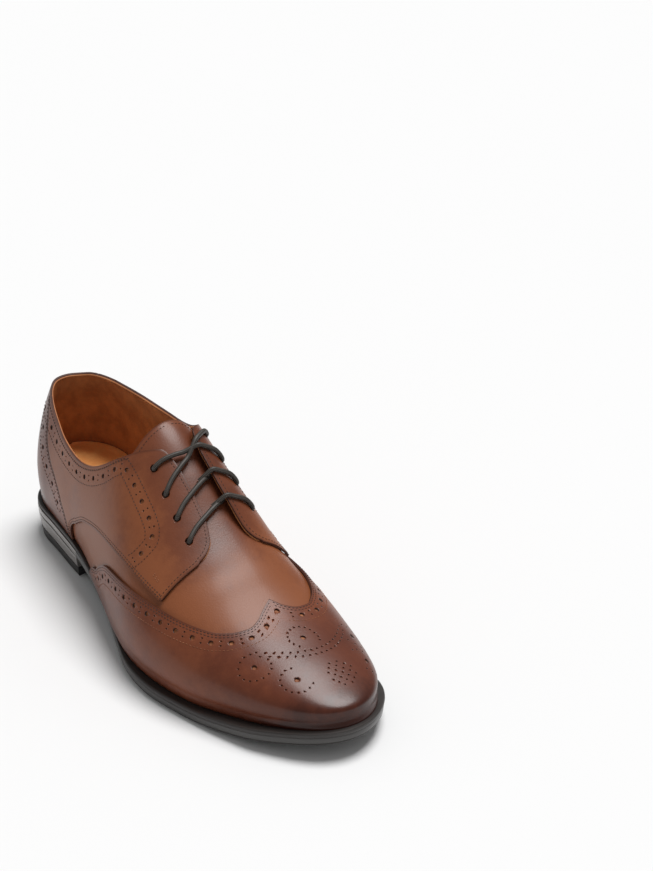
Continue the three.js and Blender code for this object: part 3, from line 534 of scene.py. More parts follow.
def grain_group():
    """Fine pebbled grain of calf, with pores and slow unevenness."""
    tree, n, into, out = group("calf_grain", [("Place", "Vector"), ("Cell", "Float")], [("Height", "Float")])
    scaled = n.add("VectorMath")
    scaled.operation = "SCALE"
    n.link(into["Place"], scaled.inputs[0])
    n.link(n.maths("DIVIDE", 1000.0, into["Cell"]), scaled.inputs["Scale"])
    cell = n.cells(scaled.outputs[0], 1.0, "SMOOTH_F1")
    fine = n.noise(scaled.outputs[0], 1.7, 3, 0.6)
    n.link(n.maths("ADD", n.maths("MULTIPLY", cell, 0.7), n.maths("MULTIPLY", fine, 0.6)), out["Height"])
    return tree


def satin_group():
    """Wax-finished sole edge: faint streaks along the edge and small scuffs."""
    tree, n, into, out = group("edge_wax", [("Place", "Vector")], [("Streak", "Float"), ("Height", "Float")])
    stretch = n.add("VectorMath")
    stretch.operation = "MULTIPLY"
    n.link(into["Place"], stretch.inputs[0])
    stretch.inputs[1].default_value = (60, 60, 900)
    streak = n.noise(stretch.outputs[0], 1.0, 4, 0.55)
    grit = n.noise(into["Place"], 1500, 3, 0.6)
    n.link(streak, out["Streak"])
    n.link(n.maths("ADD", streak, n.maths("MULTIPLY", grit, 0.5)), out["Height"])
    return tree


GROUPS = {}
MATERIALS = {}


def material(name):
    made = bpy.data.materials.new(name)
    made.use_nodes = True
    n = Nodes(made.node_tree)
    shader = made.node_tree.nodes["Principled BSDF"]
    place = n.add("TexCoord").outputs["Object"]
    MATERIALS[name] = made
    return n, shader, place


def placed(n, name, **values):
    """A node group set into a material."""
    node = n.add("Group")
    node.node_tree = GROUPS[name]
    for key, value in values.items():
        n.put(node.inputs[key], value)
    return node.outputs


def uv(n, name):
    node = n.add("UVMap")
    node.uv_map = name
    return node.outputs[0]


def bump(n, shader, height, distance_mm, strength):
    node = n.add("Bump")
    node.inputs["Strength"].default_value = strength
    node.inputs["Distance"].default_value = distance_mm / 1000
    n.link(height, node.inputs["Height"])
    n.link(node.outputs[0], shader.inputs["Normal"])


def calf(name, light, middle, deep, edge, base, mottle, rough, coat):
    n, shader, place = material(name)
    tone = placed(n, "burnish", Place=place, Shade=uv(n, "shade"), Light=light, Middle=middle,
                  Deep=deep, Edge=edge, Mottle=mottle, Base=base)
    grain = placed(n, "calf_grain", Place=place, Cell=0.85)["Height"]
    n.link(tone["Color"], shader.inputs["Base Color"])
    n.link(n.ramp(tone["Burnish"], 0, 1, rough, rough - 0.07), shader.inputs["Roughness"])
    n.link(n.ramp(tone["Burnish"], 0, 1, coat * 0.6, coat), shader.inputs["Coat Weight"])
    shader.inputs["Coat Roughness"].default_value = 0.20
    shader.inputs["Specular IOR Level"].default_value = 0.24
    bump(n, shader, grain, 0.11, 0.50)


def plain_leather(name, tones, rough, cell, depth, strength, coat=0.0):
    n, shader, place = material(name)
    spots = n.noise(place, 90, 4, 0.6)
    n.link(n.mix(n.ramp(spots, 0.3, 0.7), *tones), shader.inputs["Base Color"])
    grain = placed(n, "calf_grain", Place=place, Cell=cell)["Height"]
    n.link(n.ramp(grain, 0.2, 0.9, rough, rough + 0.1), shader.inputs["Roughness"])
    shader.inputs["Coat Weight"].default_value = coat
    bump(n, shader, grain, depth, strength)


def satin(name, tones, rough, coat, spread_to=0.1):
    n, shader, place = material(name)
    wax = placed(n, "edge_wax", Place=place)
    n.link(n.mix(wax["Streak"], *tones), shader.inputs["Base Color"])
    n.link(n.ramp(wax["Streak"], 0.3, 0.7, rough, rough + spread_to), shader.inputs["Roughness"])
    shader.inputs["Coat Weight"].default_value = coat
    shader.inputs["Coat Roughness"].default_value = 0.3
    bump(n, shader, wax["Height"], 0.05, 0.25)


def cord(name, tones):
    n, shader, _ = material(name)
    split = n.add("SeparateXYZ")
    n.link(uv(n, "chart"), split.inputs[0])
    along = n.maths("MULTIPLY", split.outputs["X"], 2 * math.pi * 10 / 1.5)
    round_it = n.maths("MULTIPLY", split.outputs["Y"], 2 * math.pi * 4)
    one = n.maths("SINE", n.maths("ADD", along, round_it))
    two = n.maths("SINE", n.maths("SUBTRACT", along, round_it))
    weave = n.maths("MULTIPLY", n.maths("MULTIPLY", one, two), 0.5)
    weave = n.maths("ADD", weave, 0.5)
    n.link(n.mix(weave, *tones), shader.inputs["Base Color"])
    n.link(n.ramp(weave, 0, 1, 0.55, 0.42), shader.inputs["Roughness"])
    bump(n, shader, weave, 0.12, 0.6)


def make_finishes():
    GROUPS["burnish"] = burnish_group()
    GROUPS["calf_grain"] = grain_group()
    GROUPS["edge_wax"] = satin_group()
    calf("brown_calf", colour(138, 80, 49), colour(113, 61, 38), colour(80, 40, 26), colour(62, 31, 21),
         base=0.08, mottle=1.05, rough=0.42, coat=0.20)
    calf("dark_calf", colour(124, 67, 42), colour(97, 48, 30), colour(58, 23, 13), colour(58, 28, 18),
         base=0.20, mottle=1.0, rough=0.39, coat=0.26)
    plain_leather("cut_edge", (colour(82, 43, 28), colour(62, 32, 21)), 0.55, 0.5, 0.06, 0.4)
    plain_leather("pale_edge", (colour(190, 122, 72), colour(158, 96, 55)), 0.55, 0.5, 0.06, 0.4)
    # Painted shade: the holes' walls are dark brown, standing in for the shade inside the punched holes.
    plain_leather("hole_wall", (colour(64, 32, 20), colour(50, 24, 15)), 0.6, 0.4, 0.05, 0.4)
    plain_leather("hole_floor", (colour(168, 104, 60), colour(140, 80, 44)), 0.6, 0.4, 0.05, 0.4)
    plain_leather("lining_leather", (colour(184, 122, 74), colour(150, 94, 54)), 0.6, 0.9, 0.16, 0.6)
    # Painted light: the sock's tan is lightened past the leather's own colour, for light the insole does not
    # get in the shade of the walls.
    plain_leather("sock_leather", (colour(255, 184, 108), colour(244, 160, 86)), 0.5, 1.1, 0.08, 0.30)
    plain_leather("thread_dark", (colour(58, 32, 22), colour(36, 20, 14)), 0.55, 0.3, 0.05, 0.5)
    plain_leather("thread_tan", (colour(158, 96, 56), colour(118, 66, 38)), 0.5, 0.3, 0.05, 0.5)
    satin("sole_satin", (colour(56, 52, 49), colour(40, 37, 35)), 0.34, 0.45)
    satin("welt_satin", (colour(52, 46, 43), colour(38, 33, 31)), 0.45, 0.10)
    # Painted reflection: the heel's satin black is lightened to the grey it shows where it mirrors the pale
    # floor.
    satin("heel_satin", (colour(138, 132, 128), colour(112, 107, 103)), 0.30, 0.55)
    satin("heel_rubber", (colour(46, 43, 42), colour(38, 36, 35)), 0.55, 0.0)
    cord("lace_cord", (colour(34, 30, 27), colour(74, 67, 60)))


def give(piece, *names):
    piece.data.materials.clear()
    for name in names:
        piece.data.materials.append(MATERIALS[name])
    return piece


# Meshes

def deselect():
    bpy.ops.object.select_all(action="DESELECT")


def pick(piece):
    deselect()
    piece.select_set(True)
    bpy.context.view_layer.objects.active = piece


def edit(piece, *steps):
    """Edit mode on the whole piece, one operator after another."""
    pick(piece)
    bpy.ops.object.mode_set(mode="EDIT")
    bpy.ops.mesh.select_all(action="SELECT")
    for step, values in steps:
        step(**values)
    bpy.ops.object.mode_set(mode="OBJECT")


def grid_sheet(name, points, chart):
    """A sheet laid over a grid of points; chart gives its first UV map."""
    cols, rows = points.shape[0] - 1, points.shape[1] - 1
    deselect()
    bpy.ops.mesh.primitive_grid_add(x_subdivisions=cols, y_subdivisions=rows, size=1)
    sheet = bpy.context.object
    sheet.name = name
    mesh = sheet.data
    mesh.name = name
    flat = np.empty(len(mesh.vertices) * 3)
    mesh.vertices.foreach_get("co", flat)
    flat = flat.reshape(-1, 3)
    i = np.rint((flat[:, 0] + 0.5) * cols).astype(int)
    j = np.rint((flat[:, 1] + 0.5) * rows).astype(int)
    placed = in_frame(points)[i, j]
    mesh.vertices.foreach_set("co", placed.ravel())
    corner = np.empty(len(mesh.loops), int)
    mesh.loops.foreach_get("vertex_index", corner)
    mesh.uv_layers[0].name = "chart"
    mesh.uv_layers[0].data.foreach_set("uv", chart[i, j][corner].ravel())
    mesh.update()
    return sheet


def face_outwards(sheet, y, girth, grow):
    """Turns a sheet so that its faces look away from the last."""
    mesh = sheet.data
    mesh.calc_loop_triangles()
    polygon = mesh.polygons[len(mesh.polygons) // 2]
    middle = np.array(polygon.center) * 1000 + ORIGIN
    flat_y, flat_g = y.ravel(), girth.ravel()
    at = last_point(flat_y, flat_g, grow if np.isscalar(grow) else grow.ravel())
    nearest = np.linalg.norm(at - middle, axis=1).argmin()
    here = (flat_y[nearest], flat_g[nearest])
    outward = last_point(*here, 1.0) - last_point(*here, 0.0)
    if np.dot(np.array(polygon.normal), outward) < 0:
        edit(sheet, (bpy.ops.mesh.flip_normals, {}))


def leather_sheet(name, lines, grow, lift=False):
    """Sheet of leather on the last. lines holds the stations and girths of a grid."""
    y, girth = lines[..., 0], lines[..., 1]
    height = grow + soft_form(y, girth) * (1 - np.clip(np.abs(girth) - 0.8, 0, 0.2) * 5)
    height = height + FOOT_FILL * smoothstep(np.abs(girth), 0.84, 1.0) * smoothstep(y, 60, 120)
    if lift:
        height = height + facing_lift(y, girth)
    points = last_point(y, girth, height)
    chart = np.stack([y / SOLE_LENGTH, girth * 0.5 + 0.5], -1)
    sheet = grid_sheet(name, points, chart)
    face_outwards(sheet, y, girth, height)
    return sheet


def ruled(foot, top, rows):
    t = np.linspace(0, 1, rows + 1)[None, :, None]
    return foot[:, None, :] * (1 - t) + top[:, None, :] * t


def framed(low, high, start, end):
    """Grid inside four lines."""
    u = np.linspace(0, 1, len(low))[:, None, None]
    v = np.linspace(0, 1, len(start))[None, :, None]
    ruled_part = (1 - v) * low[:, None] + v * high[:, None]
    sides = (1 - u) * start[None] + u * end[None]
    corners = (1 - v) * ((1 - u) * low[0] + u * low[-1]) + v * ((1 - u) * high[0] + u * high[-1])
    return ruled_part + sides - corners


def joined(name, pieces, merge=0.02):
    """One piece from several, with its doubles merged."""
    deselect()
    for piece in pieces:
        piece.select_set(True)
    bpy.context.view_layer.objects.active = pieces[0]
    bpy.ops.object.join()
    whole = bpy.context.object
    whole.name = name
    whole.data.name = name
    edit(whole, (bpy.ops.mesh.remove_doubles, {"threshold": merge / 1000}))
    return whole


def modifier(piece, kind, **values):
    """Adds a modifier, sets it and applies it."""
    pick(piece)
    made = piece.modifiers.new(kind.lower(), kind)
    for key, value in values.items():
        setattr(made, key, value)
    bpy.ops.object.modifier_apply(modifier=made.name)


def smooth(piece, angle=35):
    pick(piece)
    bpy.ops.object.shade_smooth_by_angle(angle=math.radians(angle))


def thicken(piece, thickness, edge_round=0.35):
    """Gives a sheet its thickness inwards, with rounded cut edges."""
    modifier(piece, "SOLIDIFY", thickness=thickness / 1000, offset=-1, material_offset_rim=1)
    if edge_round:
        modifier(piece, "BEVEL", width=edge_round / 1000, segments=2, limit_method="ANGLE",
                 angle_limit=math.radians(60))
    smooth(piece)


def shade_map(piece, edges, burnish):
    """Second UV map: distance to the nearest cut edge, and how dark the leather is made by burnishing and
    painted shade.
    """
    mesh = piece.data
    co = np.empty(len(mesh.vertices) * 3)
    mesh.vertices.foreach_get("co", co)
    co = co.reshape(-1, 3)
    near = np.full(len(co), 1.0)
    for line in edges:
        for block in range(0, len(line), 8):
            gap = co[:, None, :] - line[None, block:block + 8]
            near = np.minimum(near, np.sqrt((gap ** 2).sum(-1)).min(1))
    chart = np.empty(len(mesh.loops) * 2)
    mesh.uv_layers["chart"].data.foreach_get("uv", chart)
    chart = chart.reshape(-1, 2)
    corner = np.empty(len(mesh.loops), int)
    mesh.loops.foreach_get("vertex_index", corner)
    shade = np.stack([np.clip(near[corner] / 0.02, 0, 1),
                      burnish(chart[:, 0] * SOLE_LENGTH, chart[:, 1] * 2 - 1)], -1)
    mesh.uv_layers.new(name="shade")
    mesh.uv_layers["shade"].data.foreach_set("uv", shade.ravel())


def burnish_and_painted_shade(y, girth):
    """0 on the light parts of the upper, 1 where it is darkest: burnishing at the toe, heel and facings,
    with painted shade at the toe's front and along the foot of the upper.
    """
    # The toe's burnishing darkens it; the second step, at its very front, is painted shade where the toe
    # reflects little light.
    toe = 0.45 * smoothstep(y, 215, 270) + 0.55 * smoothstep(y, 268, 292)
    heel = 1 - smoothstep(y, 5, 55)
    # Painted shade: the foot of the upper is darkened where it turns under towards the welt.
    foot = smoothstep(np.abs(girth), 0.80, 1.0)
    facing = (1 - smoothstep(np.abs(girth), 0.12, 0.34)) * smoothstep(y, 95, 125)
    facing = facing * (1 - smoothstep(y, 172, 200))
    return np.clip(0.72 * toe + 0.35 * heel + 0.30 * foot + 0.50 * facing, 0, 1)


def edge_points(line, grow, lift=False):
    line = spread(line, max(8, int(line_length(line) / 0.7)))
    height = grow + (facing_lift(line[:, 0], line[:, 1]) if lift else 0)
    return in_frame(last_point(line[:, 0], line[:, 1], height))


def finish_piece(piece, slot, *nodes):
    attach(piece, "root")
    if nodes:
        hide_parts(*nodes)
    return piece


# Stitches and holes: modelled once and copied along lines

def template(kind, **values):
    """Points and faces of one small shape, and which faces are its flat ends."""
    deselect()
    getattr(bpy.ops.mesh, "primitive_" + kind + "_add")(**values)
    made = bpy.context.object
    mesh = made.data
    points = np.array([tuple(v.co) for v in mesh.vertices])
    faces = [tuple(p.vertices) for p in mesh.polygons]
    slots = [1 if abs(p.normal.z) > 0.9 else 0 for p in mesh.polygons]
    bpy.data.objects.remove(made)
    return points, faces, slots


def copied(name, every, faces):
    """One mesh from the points of each copy, which all share the same faces."""
    mesh = bpy.data.meshes.new(name)
    count = len(every[0])
    copies = [tuple(i * count + v for v in face) for i in range(len(every)) for face in faces]
    mesh.from_pydata(in_frame(np.vstack(every)).tolist(), [], copies)
    piece = bpy.data.objects.new(name, mesh)
    bpy.context.scene.collection.objects.link(piece)
    return piece


def stamp(name, shape, places, frames):
    """A copy of a shape at each place; frames hold its three axes."""
    points, faces = shape
    every = places[:, None] + np.einsum("nij,pi->npj", frames, points)
    piece = copied(name, every, faces)
    piece.data.polygons.foreach_set("use_smooth", [True] * len(piece.data.polygons))
    return piece


def cleared(line, side):
    """The stretch of a line that stays on its own side of the ridge and on the leather."""
    keep = (line[:, 1] * side > 0.004) & (line[:, 1] * side < 0.985)
    return line[keep]


def row(line, distance, hand):
    """Line beside another; hand tells on which side of it the leather lies."""
    side = 1 if line[len(line) // 2, 1] > 0 else -1
    fine = spread(line, max(12, int(line_length(line) / 2)))
    return cleared(offset(fine, distance * hand * side), side) if distance else cleared(fine, side)


def below(line, top):
    """The part of a row that lies on the leather under the collar line."""
    limit = np.interp(line[:, 0], top[:, 0], np.abs(top[:, 1]), right=0.0)
    return line[np.abs(line[:, 1]) > limit + 0.012]


def stations_on(line, pitch, start=0.0):
    """Points at an even pitch along a line."""
    length = line_length(line)
    count = max(1, int((length - start) / pitch))
    at = last_point(line[:, 0], line[:, 1])
    run = length_along(at)
    want = start + np.arange(count + 1) * pitch
    want = want[want <= length]
    return np.stack([np.interp(want, run, line[:, 0]), np.interp(want, run, line[:, 1])], -1)


def stand_off(dots, grow, lift):
    """How far the leather's face lies outside the last at each of some points."""
    height = grow + soft_form(dots[:, 0], dots[:, 1])
    return height + facing_lift(dots[:, 0], dots[:, 1]) if lift else height


def frames_on(line, grow):
    at, along, normal, _, _, _ = tangents(line, grow)
    return at, np.stack([along, np.cross(normal, along), normal], 1)


STITCH_PITCH = 2.15
STITCH_LENGTH = 1.55
THREAD = 0.42
THREAD_RISE = 0.04


def stitches(name, lines, finish, lift=False, grow=OUTSIDE):
    """Rows of stitches pulled a little into the leather."""
    shape = template("uv_sphere", segments=6, ring_count=5, radius=0.5)
    flat = shape[0] * (STITCH_LENGTH, THREAD, THREAD)
    places, frames = [], []
    for line in lines:
        if len(line) < 3:
            continue
        dots = stations_on(line, STITCH_PITCH, STITCH_PITCH / 2)
        if len(dots) < 3:
            continue
        at, turn = frames_on(dots, stand_off(dots, grow, lift))
        places.append(at + turn[:, 2] * THREAD_RISE)
        frames.append(turn)
    piece = stamp(name, (flat, shape[1]), np.vstack(places), np.vstack(frames))
    give(piece, finish)
    return finish_piece(piece, "brown_leather")


PUNCH_OVER = 1.2


def punch(piece, dots, diameters, depth, lift=False, grow=OUTSIDE, flare=1.25, sides=16):
    """Punches round holes of a depth into a piece of leather."""
    shape = template("cylinder", vertices=sides, radius=0.5, depth=1)
    dots = np.asarray(dots, float)
    at, turn = hole_frames(dots, stand_off(dots, grow, lift))
    diameters = np.broadcast_to(diameters, len(dots))
    deep = np.broadcast_to(depth, len(dots))
    points, faces, slots = shape
    every = []
    for spot, axes, wide, low in zip(at, turn, diameters, deep):
        taper = np.where(points[:, 2:] > 0, flare, 1 - (flare - 1) / 2)
        local = points * (wide, wide, 1) * np.hstack([taper, taper, np.ones_like(taper)])
        local = local * (1, 1, PUNCH_OVER + low) + (0, 0, (PUNCH_OVER - low) / 2)
        every.append(spot + local @ axes)
    tool = copied("punch", every, faces)
    give(tool, *[m.name for m in piece.data.materials])
    # Walls of the holes take the dark finish of painted shade, their floors the tan of the backing leather.
    tool.data.polygons.foreach_set("material_index", [2 + s for s in slots] * len(dots))
    tool.data.polygons.foreach_set("use_smooth", [not s for s in slots] * len(dots))
    modifier(piece, "BOOLEAN", operation="DIFFERENCE", object=tool, solver="MANIFOLD")
    bpy.data.objects.remove(tool)


def hole_frames(dots, grow):
    """Places and axes at single points of the last."""
    y, girth = dots[:, 0], dots[:, 1]
    at = last_point(y, girth, grow)
    sign = np.where(girth < 0, -1, 1)
    clear = np.where(np.abs(girth) < 0.006, 0.006 * sign, girth)
    along = last_point(y + 0.5, clear, grow) - last_point(y - 0.5, clear, grow)
    across = last_point(y, clear + 0.004, grow) - last_point(y, clear - 0.004, grow)
    normal = np.cross(across, along)
    normal /= np.linalg.norm(normal, axis=1)[:, None]
    outward = last_point(y, girth, grow + 1) - at
    normal *= np.sign((normal * outward).sum(1))[:, None]
    along /= np.linalg.norm(along, axis=1)[:, None]
    return at, np.stack([along, np.cross(normal, along), normal], 1)


BIG_HOLE = 2.7
SMALL_HOLE = 0.95
HOLE_PITCH = 11
PAIR_GAP = 1.35
HOLE_DEPTH = 1.0
PIN_DEPTH = 0.8
HOLES_IN = 6.6
CAP_HOLES_IN = 6.0
FIRST_ROW = 1.2
SECOND_ROW = 2.6
CAP_LOWER_ROW = 10.2
COUNTER_ROWS_IN = (1.3, 10.6)
BAND_ROW_GAP = 4.2
EDGE_ROW = 2.0
TONGUE_ROW = 3.0
MIDDLE_RINGS = (248.3, 275.4)
BOW_HALF, BOW_DEPTH, BOW_GAP = 27, 13, 3.3
DIAMOND_PITCH = 2.4
SIDE_RINGS = ((250.6, 0.361, 13, 60, 290), (269.5, 0.313, 11, 80, 240))


def hole_sizes(count, big):
    return np.where(np.arange(count) < big, BIG_HOLE, SMALL_HOLE)


def punch_pattern(piece, dots, wide, lift=False):
    dots, wide = apart(dots, wide)
    punch(piece, dots, wide, np.where(wide == BIG_HOLE, HOLE_DEPTH, PIN_DEPTH), lift=lift)


def brogue(line, start=0.5):
    """Large holes along a line with a pair of small ones between them."""
    big = stations_on(line, HOLE_PITCH, HOLE_PITCH * start)
    middle = stations_on(line, HOLE_PITCH, HOLE_PITCH * ((start + 0.5) % 1))
    pair = np.vstack([offset(middle, PAIR_GAP), offset(middle, -PAIR_GAP)])
    dots = np.vstack([big, pair])
    wide = hole_sizes(len(dots), len(big))
    side = 1 if big[len(big) // 2, 1] > 0 else -1
    keep = (dots[:, 1] * side > 0.012) & (dots[:, 1] * side < 0.97)
    return dots[keep], wide[keep]


def apart(dots, wide, least=0.5):
    """Leaves out each hole that would run into an earlier one."""
    at = last_point(dots[:, 0], dots[:, 1], OUTSIDE)
    kept = []
    for i in range(len(dots)):
        gaps = [np.linalg.norm(at[i] - at[j]) - 0.6 * (wide[i] + wide[j]) for j in kept]
        if not gaps or min(gaps) > least:
            kept.append(i)
    return dots[kept], wide[kept]


# Toe pattern: rings, two bowed rows and a diamond, set out from its middle line

def middle_girth(y):
    return np.interp(y, (220.6, 248.3, 275.4), (0.0, -0.034, -0.127))


def toe_section(y):
    """Signed girths over the toe, and their distances on the leather from the middle line."""
    girth = np.linspace(-0.8, 0.8, 321)
    at = last_point(np.full(321, y), girth, OUTSIDE)
    run = length_along(at)
    return girth, run - np.interp(middle_girth(y), girth, run)


def on_toe(y, across):
    girth, run = toe_section(y)
    return np.interp(across, run, girth)


def from_middle(y, signed_girth):
    girth, run = toe_section(y)
    return float(np.interp(signed_girth, girth, run))


def pin_arc(y, across, radius, count, facing, sweep):
    """Pinholes on part of a circle; facing 0 looks to the toe and 90 away from the middle."""
    girth = on_toe(y, across)
    per_mm = 1 / np.linalg.norm(last_point(y + 0.5, girth, OUTSIDE) - last_point(y - 0.5, girth, OUTSIDE))
    turns = np.radians(facing + np.linspace(-sweep / 2, sweep / 2, count))
    dots = []
    for turn in turns:
        station = y + radius * math.cos(turn) * per_mm
        dots.append((station, float(on_toe(station, across + radius * math.sin(turn)))))
    return dots


def medallion():
    big = [(MIDDLE_RINGS[0], float(middle_girth(MIDDLE_RINGS[0])))]
    pins = pin_arc(MIDDLE_RINGS[0], 0, 8.0, 13, 180, 250)
    for gap in (0.0, BOW_GAP):
        for across in np.linspace(-BOW_HALF, BOW_HALF, 17):
            station = MIDDLE_RINGS[0] + 9 + gap - BOW_DEPTH * (across / BOW_HALF) ** 2
            pins.append((station, float(on_toe(station, across))))
    for rank in range(-3, 4):
        for place in range(-3, 4):
            if abs(rank) + abs(place) <= 4 and (rank + place) % 2 == 0:
                station = MIDDLE_RINGS[1] + DIAMOND_PITCH * rank
                pins.append((station, float(on_toe(station, DIAMOND_PITCH * place))))
    for hand in (1, -1):
        for y, away, count, facing, sweep in SIDE_RINGS:
            across = from_middle(y, middle_girth(y) + away * hand)
            big.append((y, float(on_toe(y, across))))
            pins += pin_arc(y, across, 8.5, count, facing * hand, sweep)
    dots = np.array(big + pins)
    wide = hole_sizes(len(dots), len(big))
    return dots, wide


# Vamp and tongue, one piece under the facings

def vamp_and_tongue():
    halves = []
    for side in (OUTER, INNER):
        back = seam(VAMP_BACK_ROWS, side)
        girth = np.linspace(0, 1, 131)
        start = np.interp(girth, np.abs(back[:, 1]), back[:, 0])
        t = np.linspace(0, 1, 101)
        y = start[None, :] + (VAMP_FRONT - start[None, :]) * t[:, None]
        lines = np.stack([y, np.broadcast_to(girth * side, y.shape)], -1)
        lines[:, 0, 1] = 1e-9 * side
        halves.append(leather_sheet("vamp_half", lines, 0.0))
    piece = joined("vamp_and_tongue", halves)
    give(piece, "brown_calf", "cut_edge")
    thicken(piece, VAMP_THICKNESS, 0.45)
    shade_map(piece, [edge_points(seam(VAMP_BACK_ROWS[:3], side), 0) for side in (OUTER, INNER)], burnish_and_painted_shade)
    return finish_piece(piece, "brown_leather", "upper", "tongue")


# Wing cap

def wing_seam(side):
    return seam(WING_OUTER_ROWS if side > 0 else WING_INNER_ROWS, side)


def wing_cap():
    girths = np.abs(spread(wing_seam(OUTER), 130)[:, 1])
    halves = []
    for side in (OUTER, INNER):
        edge = wing_seam(side)
        starts = np.interp(girths, np.abs(edge[::-1, 1]), edge[::-1, 0])
        rows = [spread(towards_end(start, LAST_TOE, girth * side), 96)
                for start, girth in zip(starts, girths)]
        halves.append(leather_sheet("wing_half", np.stack(rows, 1), OUTSIDE))
    piece = joined("wing_cap_leather", halves)
    give(piece, "dark_calf", "cut_edge", "hole_wall", "hole_floor")
    thicken(piece, OVERLAY_THICKNESS)
    shade_map(piece, [edge_points(wing_seam(side), OUTSIDE) for side in (OUTER, INNER)], burnish_and_painted_shade)
    return piece


# Heel counter

def counter_seam(side):
    line = seam(COUNTER_ROWS, side)
    line[0] = collar(line[0, 0], line[0, 0] + 1, side, 1)[0]
    return line


def counter_top(side):
    return collar(BACK_MARGIN, counter_seam(side)[0, 0], side)


def heel_counter():
    halves = []
    for side in (OUTER, INNER):
        edge = counter_seam(side)
        foot = towards_end(edge[-1, 0], BACK_MARGIN, side)[::-1]
        top = counter_top(side)
        spine = straight((BACK_MARGIN, side), top[0])
        grid = framed(spread(foot, 56), spread(top, 56), spread(spine, 60), spread(edge[::-1], 60))
        halves.append(leather_sheet("counter_half", grid, OUTSIDE))
    piece = joined("heel_counter_leather", halves)
    give(piece, "dark_calf", "cut_edge", "hole_wall", "hole_floor")
    thicken(piece, OVERLAY_THICKNESS)
    edges = [edge_points(counter_seam(side), OUTSIDE) for side in (OUTER, INNER)]
    edges += [edge_points(counter_top(side), OUTSIDE) for side in (OUTER, INNER)]
    shade_map(piece, edges, burnish_and_painted_shade)
    return piece


# Quarters with their facings

def quarter_lines(side):
    corner = FACING_ROWS[0][0] * SOLE_LENGTH
    back = counter_seam(side) + (SEAM_GAP, 0)
    top = collar(back[0, 0], corner, side)
    skirt = seam(SKIRT_ROWS, side)
    facing = seam(FACING_ROWS, side)
    facing[0] = top[-1]
    back[0] = top[0]
    back[-1] = skirt[0]
    return top, skirt, facing, back


def quarter(side):
    top, skirt, facing, back = quarter_lines(side)
    turn = FACING_TURN * SEAM_STEPS
    high = np.vstack([spread(top, 100), spread(facing[:turn + 1], 50)[1:]])
    low = spread(skirt, 150, SKIRT_LEAD)
    grid = framed(low, high, spread(back[::-1], 76), spread(facing[turn:][::-1], 76))
    for _ in range(200):
        around = grid[:-2, 1:-1] + grid[2:, 1:-1] + grid[1:-1, :-2] + grid[1:-1, 2:]
        grid[1:-1, 1:-1] = around / 4
    name = "quarter_leather_outer" if side > 0 else "quarter_leather_inner"
    piece = leather_sheet(name, grid, OUTSIDE, lift=True)
    give(piece, "brown_calf", "cut_edge", "hole_wall", "hole_floor")
    thicken(piece, OVERLAY_THICKNESS)
    edges = [edge_points(line, OUTSIDE, lift=True) for line in (top, skirt, facing, back)]
    shade_map(piece, edges, burnish_and_painted_shade)
    return piece


def facing_lining(side):
    """Lining leather under a facing, its pale edge level with the facing's."""
    low, high = 0.30, 0.42
    facing = seam(FACING_ROWS, side)
    facing = facing[facing[:, 0] < FACING_LINING_END]
    facing = facing[np.abs(facing[:, 1]) < low]
    inside = facing.copy()
    inside[:, 1] = side * np.where(facing[:, 1] * side < low, low + 0.02, high)
    grid = ruled(spread(inside, 90), spread(facing, 90), 24)
    name = "facing_lining_outer" if side > 0 else "facing_lining_inner"
    piece = leather_sheet(name, grid, OVERLAY_FIT - 0.05, lift=True)
    give(piece, "lining_leather", "pale_edge", "hole_wall", "hole_floor")
    thicken(piece, FACING_LINING_THICKNESS, 0.25)
    return finish_piece(piece, "insole_leather")


def punch_eyelets(piece, side):
    dots = [(at * SOLE_LENGTH, EYELET_GIRTH[side] * side) for at in EYELET_AT[side]]
    punch(piece, dots, EYELET_BORE, EYELET_DEPTH, lift=True, flare=1.04, sides=28)


# Lining and collar edge

def rim(side):
    """Collar line from the back seam to the front corner of the quarter."""
    return collar(BACK_MARGIN, FACING_ROWS[0][0] * SOLE_LENGTH, side)


def lining():
    """Leather lining of the whole inside, brought out to the leather at the collar."""
    halves = []
    for side in (OUTER, INNER):
        half_way = SOLE_LENGTH / 2
        foot = np.vstack([towards_end(half_way, BACK_MARGIN, side)[::-1],
                          towards_end(half_way, LAST_TOE, side)[1:]])
        collar_part = spread(rim(side), 90)
        corner = collar_part[-1]
        front = spread(straight(corner, (corner[0] + 4, 1e-9 * side)), 20)
        crest = spread(towards_end(corner[0] + 4, LAST_TOE, 1e-9 * side), 70)
        top = np.vstack([collar_part, front[1:], crest[1:]])
        grid = ruled(spread(foot, len(top) - 1), top, 40)
        y, girth = grid[..., 0], grid[..., 1]
        t = np.linspace(0, 1, 41)[None, :]
        low, high = last_point(y[:, :1], girth[:, :1]), last_point(y[:, -1:], girth[:, -1:])
        height = np.linalg.norm(low - high, axis=-1)
        down = (1 - t) * height
        open_part = (np.arange(len(top)) < len(collar_part))[:, None]
        flare = (UPPER_WALL - LINING_THICKNESS) * (1 - smoothstep(down, 0, 9)) * (1 - smoothstep(y, 84, 98))
        raised = facing_lift(y[:, -1:], girth[:, -1:]) * (1 - smoothstep(down, 0, 12))
        grow = -UPPER_WALL + np.where(open_part, flare + raised, 0)
        points = last_point(y, girth, grow)
        chart = np.stack([y / SOLE_LENGTH, girth * 0.5 + 0.5], -1)
        half = grid_sheet("lining_half", points, chart)
        face_outwards(half, y, girth, grow)
        edit(half, (bpy.ops.mesh.flip_normals, {}))
        halves.append(half)
    piece = joined("lining", halves)
    give(piece, "lining_leather")
    modifier(piece, "SOLIDIFY", thickness=LINING_THICKNESS / 1000, offset=-1)
    smooth(piece)
    return finish_piece(piece, "insole_leather")


